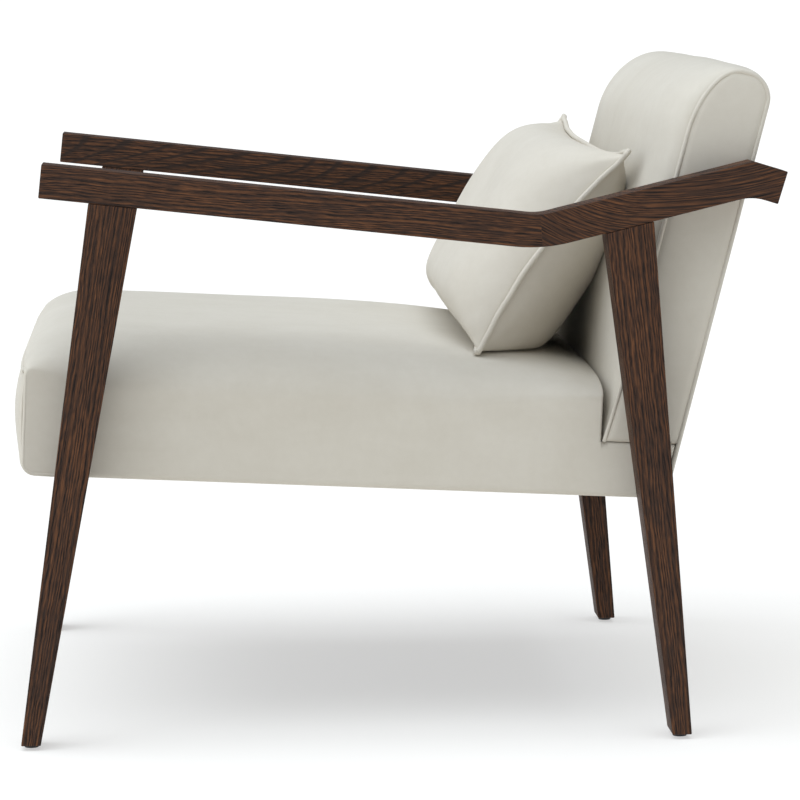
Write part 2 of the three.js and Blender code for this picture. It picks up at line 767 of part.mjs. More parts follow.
function makeSeatFoam() {
  const across = softHalf + overcut;
  const frameRoom = boxBetween([-across, railSetback - fitGap, -overcut],
    [across, seatRearEdge().ledge.x + overcut, foamFloor]);
  const body = seatBody(2 * (seatWeltRadius + fitGap), foamStations);
  return piece('seat_foam', cut(body, [frameRoom]), finishes.foam);
}

// Front faces of the three cross rails.
function railFronts() {
  return {
    front: railSetback,
    middle: seatCushionDepth - railThick,
    rear: seatRearEdge().bottom.x - 2 * coverThick - railThick,
  };
}

// Place across and along the seat of the screw that rises into the left upright of the back.
function backScrewPlace() {
  return new THREE.Vector2((railInner + railOuter) / 2, seatRearAt(seatLedgeHeight) - backScrewForward);
}

// Bores for the screws that rise through the side rails, with room for their heads.
function backScrewBores() {
  const { x, y } = backScrewPlace();
  const top = seatLedgeHeight + backScrewInUpright + fitGap;
  const counterbore = railLow + screwHeadHeight + 2 * fitGap;
  return [x, -x].flatMap((place) => [[screwRadius, top], [screwHeadRadius, counterbore]].map(([radius, high]) => {
    const wide = radius + 2 * fitGap;
    const rod = new THREE.CylinderGeometry(wide, wide, high + overcut, boreSides);
    return rod.rotateX(Math.PI / 2).translate(place, y, (high - overcut) / 2);
  }));
}

function makeBackScrews() {
  const { x, y } = backScrewPlace();
  const length = seatLedgeHeight + backScrewInUpright - railLow - fitGap - screwHeadHeight;
  return [[x, 'left'], [-x, 'right']].map(([place, word]) => (
    piece(`back_screw_${word}`, standingScrew(length).translate(place, y, railLow + fitGap), finishes.steel)));
}

function makeSeatRails() {
  const half = railInner - fitGap;
  const heads = toolsInGroup([headBore(legScrews[1])], seatGroup);
  const cross = Object.entries(railFronts()).map(([word, y]) => {
    const rail = boxBetween([-half, y, railLow], [half, y + railThick, railHigh]);
    return piece(`seat_rail_${word}`, word === 'rear' ? cut(rail, heads) : rail, finishes.beech);
  });
  const skinRoom = (coverThick + fitGap) / Math.cos(backRecline - seatFallAngle);
  const outline = [
    new THREE.Vector2(railSetback, railLow),
    new THREE.Vector2(seatRearAt(railLow) - skinRoom, railLow),
    new THREE.Vector2(seatRearAt(railHigh) - skinRoom, railHigh),
    new THREE.Vector2(railSetback, railHigh),
  ];
  const bores = [...toolsInGroup(legScrews.map(screwBore), seatGroup), ...backScrewBores()];
  const sides = [[1, 'left'], [-1, 'right']].map(([side, word]) => (
    piece(`seat_rail_${word}`, cut(onSide(slab(outline, railInner, railOuter), side), bores), finishes.beech)));
  return [...cross, ...sides];
}

function springPlaces() {
  const pitch = (2 * railInner - clipWidth) / springCount;
  return Array.from({ length: springCount }, (_, i) => (i - (springCount - 1) / 2) * pitch);
}

// Zigzag springs that lie on clips over the front and middle rails.
function makeSprings() {
  const fronts = railFronts();
  const start = fronts.front + railThick / 2;
  const end = fronts.middle + railThick / 2;
  const count = springWaves * springStepsPerWave;
  return springPlaces().map((x, index) => {
    const path = Array.from({ length: count + 1 }, (_, i) => {
      const swing = springSwing * Math.sin((2 * Math.PI * i) / springStepsPerWave);
      return new THREE.Vector3(x + swing, THREE.MathUtils.lerp(start, end, i / count), springHeight);
    });
    return piece(`seat_spring_${index + 1}`, sweep(path, springWire / 2, wireSides), finishes.steel);
  });
}

// A clip strip along each of the two rails that carry the springs.
function makeClipStrips() {
  const fronts = railFronts();
  const setIn = (railThick - clipDepth) / 2;
  const half = springPlaces()[springCount - 1] + clipWidth / 2;
  return ['front', 'middle'].map((word) => {
    const y = fronts[word] + setIn;
    const strip = boxBetween([-half, y, railHigh + fitGap], [half, y + clipDepth, clipTop]);
    return piece(`seat_clip_strip_${word}`, strip, finishes.steel);
  });
}

function makeFelt() {
  const end = seatCushionDepth - coverThick - 2 * fitGap;
  const felt = boxBetween([-railInner, railSetback, feltLow], [railInner, end, feltLow + feltThick]);
  return piece('seat_felt', felt, finishes.felt);
}

function makeDustCover() {
  const half = railOuter - fitGap;
  const high = railLow - fitGap;
  const cloth = boxBetween([-half, railSetback + railThick + fitGap, high - dustThick],
    [half, seatRearEdge().bottom.x - 2 * coverThick - fitGap, high]);
  return piece('dust_cover', cloth, finishes.blackCloth);
}

function makeSeat() {
  seatGroup.add(makeSeatCover(), makeFrontBand(), makeBandPiping(), makeSeatFoam(), makeFelt());
  seatGroup.add(...makeSprings(), ...makeClipStrips(), ...makeSeatRails(), makeDustCover(), ...makeBackScrews());
  return seatGroup;
}

// Back

// Height of the back's sloping lower edge at a depth: it stands on the seat frame's ledge.
function backFloor(depth) {
  return depth * Math.tan(backRecline - seatFallAngle);
}

// Depth of the back's front at a height, for a share of the full crown.
function backFrontAt(height, share) {
  const grown = Math.min(1, Math.max(0, height) / backCrownRise);
  return -backFrontCrown * share * (1 - (1 - grown) ** 2);
}

// The back's outer line at one station, from its front foot over the top to its rear foot.
function backLine(share) {
  const line = [];
  const rollFoot = backHeight - backFrontRollHeight;
  for (let i = 0; i <= topSteps; i += 1) {
    const height = rollFoot * (i / topSteps);
    line.push(new THREE.Vector2(backFrontAt(height, share), height));
  }
  const top = backHeight + backTopCrown * share;
  for (let i = 1; i <= rollSteps; i += 1) {
    const angle = (Math.PI / 2) * (i / rollSteps);
    const depth = THREE.MathUtils.lerp(backFrontAt(rollFoot, share), backFrontRollDepth, 1 - Math.cos(angle));
    line.push(new THREE.Vector2(depth, THREE.MathUtils.lerp(rollFoot, top, Math.sin(angle))));
  }
  const rear = backThick + backRearCrown * share;
  const shoulder = backHeight - backRearRollRadius;
  for (let i = 0; i <= rollSteps; i += 1) {
    const angle = (Math.PI / 2) * (i / rollSteps);
    const depth = THREE.MathUtils.lerp(backThick - backRearRollRadius, rear, Math.sin(angle));
    line.push(new THREE.Vector2(depth, THREE.MathUtils.lerp(shoulder, top, Math.cos(angle))));
  }
  for (let i = 1; i <= bandSteps; i += 1) {
    const fade = 1 - (i / bandSteps) ** 2;
    const height = THREE.MathUtils.lerp(shoulder, backFloor(backThick), i / bandSteps);
    line.push(new THREE.Vector2(backThick + backRearCrown * share * fade, height));
  }
  return line;
}

// The back's outer line with the rear cloth's flap, run from the flap up the rear and down the front.
function backWrapLine(share) {
  const line = backLine(share);
  line[0].y = backFloor(weltSeat) + fitGap;
  line.push(new THREE.Vector2(backThick, -backFlapDrop));
  return line.reverse();
}

// Front, top and rear in one strip of cloth.
function makeBackCover() {
  const shares = stations(backStations);
  const outlines = shares.map((share) => {
    const outer = backWrapLine(rollShare(share));
    return [...outer, ...inset(outer, coverThick, false).reverse()];
  });
  return piece('back_cover', loft(outlines, shares.map((share) => share * wrapHalf)), finishes.velvet);
}

// Side panels with sloping lower edges on the ledge and a hole for the arm's screw.
function makeBackSidePanels() {
  const outline = inset(backLine(0).reverse(), weltSeat);
  for (const corner of [outline[0], outline[outline.length - 1]]) corner.y = backFloor(corner.x) + fitGap;
  const bores = toolsInGroup([screwBore(armScrew)], backGroup);
  return [[1, 'left'], [-1, 'right']].map(([side, word]) => {
    const panel = onSide(slab(outline, softHalf - coverThick, softHalf), side);
    return piece(`back_side_panel_${word}`, cut(panel, bores), finishes.velvet);
  });
}

function makeBackPiping() {
  const depth = backWeltRadius + fitGap;
  const line = inset(backWrapLine(0), depth, false);
  return [[1, 'left'], [-1, 'right']].map(([side, word]) => {
    const path = line.map((p) => new THREE.Vector3(side * (softHalf - depth), p.x, p.y));
    return piece(`back_piping_${word}`, sweep(path, backWeltRadius, tubeSides), finishes.velvet);
  });
}

// Rear face of the webbing, just ahead of the frame.
function strapRear() {
  return uprightFront - fitGap;
}

function makeBackFoam() {
  const shares = stations(foamStations);
  const depth = 2 * (backWeltRadius + fitGap);
  const outlines = shares.map((share) => inset(backLine(rollShare(share)).reverse(), depth));
  const body = loft(outlines, shares.map((share) => share * (softHalf - depth - fitGap)));
  const frameRoom = boxBetween([-softHalf, strapRear() - strapThick - fitGap, -backHeight],
    [softHalf, backThick + backRearCrown, uprightTop + fitGap]);
  return piece('back_foam', cut(body, [frameRoom]), finishes.foam);
}

function makeBackFrame() {
  const upright = [
    new THREE.Vector2(uprightFront, backFloor(uprightFront) + fitGap),
    new THREE.Vector2(uprightRear, backFloor(uprightRear) + fitGap),
    new THREE.Vector2(uprightRear, uprightTop),
    new THREE.Vector2(uprightFront, uprightTop),
  ];
  const seatToBack = backGroup.matrixWorld.clone().invert().multiply(seatGroup.matrixWorld);
  const bores = [...toolsInGroup([screwBore(armScrew)], backGroup),
    ...backScrewBores().map((bore) => bore.applyMatrix4(seatToBack))];
  const uprights = [[1, 'left'], [-1, 'right']].map(([side, word]) => (
    piece(`back_upright_${word}`, cut(onSide(slab(upright, railInner, railOuter), side), bores), finishes.beech)));
  const half = railInner - fitGap;
  const railRear = uprightFront + backRailDepth;
  const lows = { top: uprightTop - backRailHeight, middle: backMiddleRail, bottom: backFloor(railRear) + fitGap };
  const rails = Object.entries(lows).map(([word, low]) => (
    piece(`back_rail_${word}`, boxBetween([-half, uprightFront, low], [half, railRear, low + backRailHeight]),
      finishes.beech)));
  return [...uprights, ...rails];
}

// Level and upright straps, joined where they cross.
function makeBackWebbing() {
  const [rear, half] = [strapRear(), railInner + strapLap];
  const front = rear - strapThick;
  const level = Array.from({ length: strapCount }, (_, i) => {
    const low = strapFirst + i * strapPitch - strapWidth / 2;
    return boxBetween([-half, front, low], [half, rear, low + strapWidth]);
  });
  const foot = strapFirst - strapWidth / 2 - strapLap;
  const upright = Array.from({ length: uprightStrapCount }, (_, i) => {
    const low = (i - (uprightStrapCount - 1) / 2) * uprightStrapPitch - strapWidth / 2;
    return boxBetween([low, front, foot], [low + strapWidth, rear, uprightTop - strapLap]);
  });
  return piece('back_webbing', join([...level, ...upright]), finishes.webbing);
}

function makeBack() {
  backGroup.add(makeBackCover(), ...makeBackSidePanels(), ...makeBackPiping());
  backGroup.add(makeBackFoam(), makeBackWebbing(), ...makeBackFrame());
  return backGroup;
}

// Loose cushion

// A place on the cushion's middle sheet, for shares from -1 to 1. Its sides draw in between the corners.
function cushionSheet(a, b) {
  const rim = 2 * pipingRadius + fitGap;
  const blunt = 1 - cushionCornerShare * (a * b) ** 8;
  const x = a * blunt * (cushionWidth / 2 - rim) * (1 - cushionEndPullShare * a * a * (1 - b * b));
  const z = b * blunt * (cushionHeight / 2 - rim) * (1 - cushionEdgePullShare * b * b * (1 - a * a));
  return new THREE.Vector3(x, -cushionBow * a * a * (1 - b * b), z + cushionHeight / 2);
}

function cushionDome(a, b) {
  const across = (1 - Math.abs(a) ** domeAcrossPower) ** domePower;
  return across * (1 - Math.abs(b) ** domeUpPower) ** domePower;
}

// A grid of places off the middle sheet, less some outer rows: a step, and a loft that grows with the dome.
function cushionGrid(trim, step, loftHeight) {
  const columns = stations(cushionAcross).slice(trim, cushionAcross + 1 - trim);
  const rows = stations(cushionUp).slice(trim, cushionUp + 1 - trim);
  return rows.flatMap((b) => columns.map((a) => {
    const place = cushionSheet(a, b);
    place.y += step + loftHeight * cushionDome(a, b);
    return place;
  }));
}

// One of the cushion's cloth panels: side -1 in front, 1 behind.
function cushionPanel(side, loftHeight) {
  const raised = side * (loftHeight - cushionClothThick);
  const inner = cushionGrid(0, (side * fitGap) / 2, raised);
  const outer = cushionGrid(0, side * (fitGap / 2 + cushionClothThick), raised);
  return side < 0 ? padSolid(outer, inner, cushionAcross, cushionUp) : padSolid(inner, outer, cushionAcross, cushionUp);
}

function cushionFilling() {
  const front = cushionGrid(fillingTrim, 2 * fitGap, cushionClothThick - cushionFrontLoft);
  const rear = cushionGrid(fillingTrim, -2 * fitGap, cushionRearLoft - cushionClothThick);
  return padSolid(front, rear, cushionAcross - 2 * fillingTrim, cushionUp - 2 * fillingTrim);
}

// The middle line of the piping, just outside the border of the two panels.
function pipingPath() {
  const row = stations(cushionAcross);
  const column = stations(cushionUp);
  const border = borderPlaces(cushionAcross, cushionUp).map(([i, j]) => cushionSheet(row[i], column[j]));
  const flat = inset(border.map((p) => new THREE.Vector2(p.x, p.z)), -(pipingRadius + fitGap));
  return flat.map((p, i) => new THREE.Vector3(p.x, border[i].y, p.y));
}

// The piping is one length whose ends meet in the middle of the lower edge.
function cushionPiping() {
  const path = pipingPath();
  path.push(path[0].clone());
  path[0].x += fitGap;
  path[path.length - 1].x -= fitGap;
  return sweep(path, pipingRadius, tubeSides);
}

// Height of the seat's surface at a place on the chair.
function seatSurfaceAt(x, y) {
  const share = rollShare(x / softHalf);
  let local = new THREE.Vector2(0, seatSideHeight);
  for (let i = 0; i < 3; i += 1) {
    local = intoGroup(new THREE.Vector2(y, outOfGroup(local, seatGroup).y), seatGroup);
    local.y = seatSideHeight + share * seatCrownAt(local.x);
  }
  return outOfGroup(local, seatGroup).y;
}

// Place of the back's front surface at a height on the chair.
function backSurfaceAt(x, z) {
  const share = rollShare(Math.min(1, Math.abs(x) / wrapHalf));
  let local = new THREE.Vector2();
  for (let i = 0; i < 3; i += 1) {
    local = intoGroup(new THREE.Vector2(outOfGroup(local, backGroup).x, z), backGroup);
    local.x = backFrontAt(local.y, share);
  }
  return outOfGroup(local, backGroup).x;
}

// Sets the cushion down on the seat and against the back, one fit gap clear of both.
function restCushion(group) {
  group.rotation.x = -cushionLean;
  group.updateMatrixWorld();
  const rear = cushionGrid(0, fitGap / 2 + cushionClothThick, cushionRearLoft - cushionClothThick);
  const touching = [[pipingPath(), pipingRadius], [rear, 0]].flatMap(([points, margin]) => (
    points.map((p) => ({ place: p.clone().applyMatrix4(group.matrixWorld), room: margin + fitGap }))));
  let y = 0;
  let z = 0;
  for (let i = 0; i < arcSteps; i += 1) {
    z = Math.max(...touching.map(({ place, room }) => seatSurfaceAt(place.x, y + place.y) + room - place.z));
    y = Math.min(...touching.map(({ place, room }) => backSurfaceAt(place.x, z + place.z) - room - place.y));
  }
  group.position.set(0, y, z);
  return group;
}

function makeCushion() {
  const group = new THREE.Group();
  group.add(
    piece('cushion_front_panel', cushionPanel(-1, cushionFrontLoft), finishes.velvet),
    piece('cushion_rear_panel', cushionPanel(1, cushionRearLoft), finishes.velvet),
    piece('cushion_filling', cushionFilling(), finishes.fibre),
    piece('cushion_piping', cushionPiping(), finishes.velvet),
  );
  return restCushion(group);
}

// Whole chair, with its origin on the floor under the middle of its bounding box

const chair = new THREE.Group();
chair.add(makeSideFrame(1, 'left'), makeSideFrame(-1, 'right'), ...makeScrews());
chair.add(makeSeat(), makeBack(), makeCushion());
chair.updateMatrixWorld(true);
const bounds = new THREE.Box3().setFromObject(chair, true);
chair.position.y = -(bounds.min.y + bounds.max.y) / 2;

export default chair;
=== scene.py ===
"""Fireside chair: the looks of a low upholstered chair with cranked oak arms and one loose cushion.

Sizes are in millimetres until a mesh is made, and metres after that. +X is the sitter's left, -Y the front
and +Z up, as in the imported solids.
"""

import logging
import math
from dataclasses import dataclass, field
from enum import Enum
from functools import cached_property
from typing import Sequence

import bmesh
import bpy
import numpy as np
from mathutils import Matrix, Vector, noise

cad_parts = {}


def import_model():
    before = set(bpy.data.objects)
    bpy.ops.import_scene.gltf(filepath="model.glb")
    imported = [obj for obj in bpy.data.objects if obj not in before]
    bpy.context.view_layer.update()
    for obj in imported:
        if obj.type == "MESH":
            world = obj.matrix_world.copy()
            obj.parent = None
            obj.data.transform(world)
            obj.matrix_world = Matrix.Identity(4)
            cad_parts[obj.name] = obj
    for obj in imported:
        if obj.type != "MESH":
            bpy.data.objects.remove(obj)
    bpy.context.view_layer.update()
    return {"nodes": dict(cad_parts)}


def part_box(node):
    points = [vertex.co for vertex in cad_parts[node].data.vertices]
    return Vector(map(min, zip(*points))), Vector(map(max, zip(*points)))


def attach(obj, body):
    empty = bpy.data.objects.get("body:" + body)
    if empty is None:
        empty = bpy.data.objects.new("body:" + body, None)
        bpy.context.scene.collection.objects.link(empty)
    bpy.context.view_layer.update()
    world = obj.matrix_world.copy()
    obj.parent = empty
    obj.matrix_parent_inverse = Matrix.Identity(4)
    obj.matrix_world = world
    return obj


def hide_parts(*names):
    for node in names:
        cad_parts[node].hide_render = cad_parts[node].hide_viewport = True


LOG = logging.getLogger("fireside_chair")
MM = 0.001
Place = tuple[float, float]
Rows = list[list[Vector]]
Triple = tuple[float, float, float]
Colour = Triple
Socket = bpy.types.NodeSocket


# Shared sums


def blend_between(low: float, high: float, share: float) -> float:
    """The value a share of the way from low to high."""
    return low + (high - low) * share


def soft_share(across: float, power: int = 4) -> float:
    """Full over the middle of a width and none at its sides, with a soft roll between."""
    return math.sqrt(max(0.0, 1.0 - across**power))


def eased(count: int) -> list[float]:
    """Stations from -1 to 1, closer together towards the ends."""
    return [math.sin(math.pi * (i / count - 0.5)) for i in range(count + 1)]


def flow(place: Vector, reach: float, seed: float = 0.0) -> float:
    """Smooth noise from about -1 to 1.

    Args:
        place: Where to read it, in millimetres.
        reach: How far apart its hills are, in millimetres.
        seed: Moves the reading to another stretch of the noise.

    Returns:
        The height of the noise there.
    """
    return noise.noise(place / reach + Vector((seed, seed * 1.7, -seed)))


def swell(place: Vector, reach: float, seed: float) -> float:
    """Smooth noise from about 0 to 1, read as flow reads it."""
    return 0.5 * (1.0 + flow(place, reach, seed))


def nearness(distance: float, reach: float) -> float:
    """One on a line, and fading to nothing well beyond the reach."""
    return math.exp(-((distance / reach) ** 2))


def steps_between(low: float, high: float, count: int) -> list[float]:
    """Values in equal steps, from just past low up to high itself."""
    return [blend_between(low, high, i / count) for i in range(1, count + 1)]


def quarter(count: int) -> list[float]:
    """Angles of a quarter turn in equal steps, both ends included."""
    return [math.pi / 2 * i / count for i in range(count + 1)]


def meeting(a: Place, along_a: Place, b: Place, along_b: Place) -> Place:
    """The crossing of two lines.

    Args:
        a: A place on the first line.
        along_a: Direction of the first line.
        b: A place on the second line.
        along_b: Direction of the second line.

    Returns:
        The place where they cross.
    """
    cross = along_a[0] * along_b[1] - along_a[1] * along_b[0]
    run = ((b[0] - a[0]) * along_b[1] - (b[1] - a[1]) * along_b[0]) / cross
    return (a[0] + along_a[0] * run, a[1] + along_a[1] * run)


def direction(start: Place, end: Place) -> Place:
    """The unit direction from one place to another."""
    length = math.dist(start, end)
    return ((end[0] - start[0]) / length, (end[1] - start[1]) / length)


def rounded(before: Place, corner: Place, after: Place, radius: float, steps: int) -> list[Place]:
    """An arc that takes the place of a corner.

    Args:
        before: The neighbour that the outline comes from.
        corner: The corner itself.
        after: The neighbour that the outline goes to.
        radius: Radius of the arc.
        steps: How many chords the arc has.

    Returns:
        The places along the arc, both ends included.
    """
    back = Vector(direction(corner, before))
    ahead = Vector(direction(corner, after))
    half = math.acos(max(-1.0, min(1.0, back.dot(ahead)))) / 2
    centre = Vector(corner) + (back + ahead).normalized() * (radius / math.sin(half))
    start = Vector(corner) + back * (radius / math.tan(half)) - centre
    end = Vector(corner) + ahead * (radius / math.tan(half)) - centre
    turn = math.atan2(start.x * end.y - start.y * end.x, start.dot(end))
    return [tuple(centre + Matrix.Rotation(turn * i / steps, 2) @ start) for i in range(steps + 1)]


def drawn_in(line: Sequence[Place], amount: float) -> list[Place]:
    """Moves an open line to its left.

    Args:
        line: Places along the line.
        amount: How far each stretch of it moves.

    Returns:
        The moved places, mitred at the corners.
    """
    moved = []
    for i, place in enumerate(line):
        inward = direction(line[i - 1], place) if i else direction(place, line[1])
        onward = direction(place, line[i + 1]) if i < len(line) - 1 else inward
        normal = Vector((-inward[1], inward[0]))
        mitre = (normal + Vector((-onward[1], onward[0]))).normalized()
        step = mitre * (amount / mitre.dot(normal))
        moved.append((place[0] + step.x, place[1] + step.y))
    return moved


@dataclass(frozen=True)
class LeaningFrame:
    """A frame turned about X, in which the seat, the back or the cushion is drawn.

    Its origin is (y, z) on the chair, and it leans by an angle from the front upwards.
    """

    origin: Place
    lean: float

    def out(self, place: Vector) -> Vector:
        """Carries a place from this frame onto the chair.

        Args:
            place: The place in this frame.

        Returns:
            The place on the chair.
        """
        c, s = math.cos(self.lean), math.sin(self.lean)
        y, z = self.origin
        return Vector((place.x, y + place.y * c + place.z * s, z - place.y * s + place.z * c))

    def into(self, place: Vector) -> Vector:
        """Carries a place from the chair into this frame.

        Args:
            place: The place on the chair.

        Returns:
            The place in this frame.
        """
        c, s = math.cos(self.lean), math.sin(self.lean)
        y, z = place.y - self.origin[0], place.z - self.origin[1]
        return Vector((place.x, y * c - z * s, y * s + z * c))


# Finishes


class FinishSheet:
    """The nodes of one material, with short ways to add and join them."""

    def __init__(self, name: str) -> None:
        """Starts a material with an empty node sheet and one principled surface.

        Args:
            name: Name of the material.
        """
        self.material = bpy.data.materials.new(name)
        self.material.use_nodes = True
        self.nodes = self.material.node_tree.nodes
        self.nodes.clear()
        self.surface = self.put("ShaderNodeBsdfPrincipled")
        output = self.put("ShaderNodeOutputMaterial")
        self.wire(self.surface.outputs[0], output.inputs["Surface"])

    def put(self, kind: str, **settings: object) -> bpy.types.Node:
        """Adds a node.

        Args:
            kind: Blender's name for the kind of node.
            **settings: The node's options, by name.

        Returns:
            The new node.
        """
        node = self.nodes.new(kind)
        for key, value in settings.items():
            setattr(node, key, value)
        return node

    def wire(self, source: Socket, target: Socket) -> None:
        """Joins an output to an input."""
        self.material.node_tree.links.new(source, target)

    def feed(self, target: Socket, value: object) -> None:
        """Joins an output to an input, or sets the input to a plain value.

        Args:
            target: The input.
            value: An output, a plain value, or None to leave the input as it is.
        """
        if isinstance(value, Socket):
            self.wire(value, target)
        elif value is not None:
            target.default_value = value

    def sum(self, operation: str, a: object, b: object = None, c: object = None) -> Socket:
        """One step of arithmetic.

        Args:
            operation: Blender's name for the operation.
            a: First socket or number.
            b: Second socket or number, where the operation takes one.
            c: Third socket or number, where the operation takes one.

        Returns:
            The result's socket.
        """
        node = self.put("ShaderNodeMath", operation=operation)
        for target, value in zip(node.inputs, (a, b, c)):
            self.feed(target, value)
        return node.outputs[0]

    def scaled(self, vector: Socket, factors: Triple) -> Socket:
        """Multiplies each part of a vector by its own factor.

        Args:
            vector: The vector's socket.
            factors: One factor for each part.

        Returns:
            The scaled vector's socket.
        """
        node = self.put("ShaderNodeVectorMath", operation="MULTIPLY")
        self.wire(vector, node.inputs[0])
        node.inputs[1].default_value = factors
        return node.outputs[0]

    def joined(self, x: object, y: object, z: object) -> Socket:
        """Makes a vector of three sockets or numbers.

        Args:
            x: First part.
            y: Second part.
            z: Third part.

        Returns:
            The vector's socket.
        """
        node = self.put("ShaderNodeCombineXYZ")
        for target, value in zip(node.inputs, (x, y, z)):
            self.feed(target, value)
        return node.outputs[0]

    def parts(self, vector: Socket) -> tuple[Socket, ...]:
        """Takes a vector apart.

        Args:
            vector: The vector's socket.

        Returns:
            The sockets of its three parts.
        """
        node = self.put("ShaderNodeSeparateXYZ")
        self.wire(vector, node.inputs[0])
        return tuple(node.outputs)

    def cloud(self, vector: Socket, scale: float, detail: float = 3.0, roughness: float = 0.5,
              distortion: float = 0.0) -> Socket:
        """Adds a noise texture.

        Args:
            vector: Where the noise is read.
            scale: How many hills it has to a unit.
            detail: How many finer layers lie on it.
            roughness: How strong the finer layers are.
            distortion: How far it is warped.

        Returns:
            The socket of its value, from 0 to 1.
        """
        node = self.put("ShaderNodeTexNoise")
        self.wire(vector, node.inputs["Vector"])
        levels = {"Scale": scale, "Detail": detail, "Roughness": roughness, "Distortion": distortion}
        for key, value in levels.items():
            node.inputs[key].default_value = value
        return node.outputs[0]

    def ramp(self, value: Socket, stops: Sequence[tuple[float, float]]) -> Socket:
        """Maps a value through grey stops.

        Args:
            value: The value's socket.
            stops: Each stop's place and level.

        Returns:
            The mapped value's socket.
        """
        node = self.put("ShaderNodeValToRGB")
        ramp = node.color_ramp
        for i, (place, level) in enumerate(stops):
            stop = ramp.elements[i] if i < 2 else ramp.elements.new(place)
            stop.position = place
            stop.color = (level, level, level, 1.0)
        self.wire(value, node.inputs[0])
        return node.outputs[0]

    def tint(self, share: object, first: object, second: object) -> Socket:
        """Mixes two colours.

        Args:
            share: How much of the second colour there is.
            first: The first colour, or its socket.
            second: The second colour, or its socket.

        Returns:
            The mixed colour's socket.
        """
        node = self.put("ShaderNodeMix", data_type="RGBA", blend_type="MIX")
        self.feed(node.inputs[0], share)
        for target, value in ((node.inputs[6], first), (node.inputs[7], second)):
            self.feed(target, (*value, 1.0) if isinstance(value, tuple) else value)
        return node.outputs[2]

    def raise_by(self, height: Socket, distance: float, strength: float) -> None:
        """Lets a height value bump the surface.

        Args:
            height: The value's socket.
            distance: How far a value of 1 lifts the surface, in metres.
            strength: Share of the bump that is used.
        """
        node = self.put("ShaderNodeBump")
        node.inputs["Strength"].default_value = strength
        node.inputs["Distance"].default_value = distance
        self.wire(height, node.inputs["Height"])
        self.wire(node.outputs[0], self.surface.inputs["Normal"])

    def reach(self, a: Socket, b: Socket) -> Socket:
        """How far a place lies from the origin, by two of its parts."""
        squares = [self.sum("MULTIPLY", part, part) for part in (a, b)]
        return self.sum("SQRT", self.sum("ADD", *squares))

    def object_place(self) -> Socket:
        """The place on the piece, in metres."""
        return self.put("ShaderNodeTexCoord").outputs["Object"]

    def set_surface(self, **values: object) -> None:
        """Sets plain values on the surface's own sockets, with spaces written as underscores."""
        for key, value in values.items():
            self.surface.inputs[key.replace("_", " ")].default_value = value


class GrainRun(Enum):
    """How the growth rings run through a member."""

    LENGTHWISE = "lengthwise"
    OBLIQUE = "oblique"
    SWEPT = "swept"


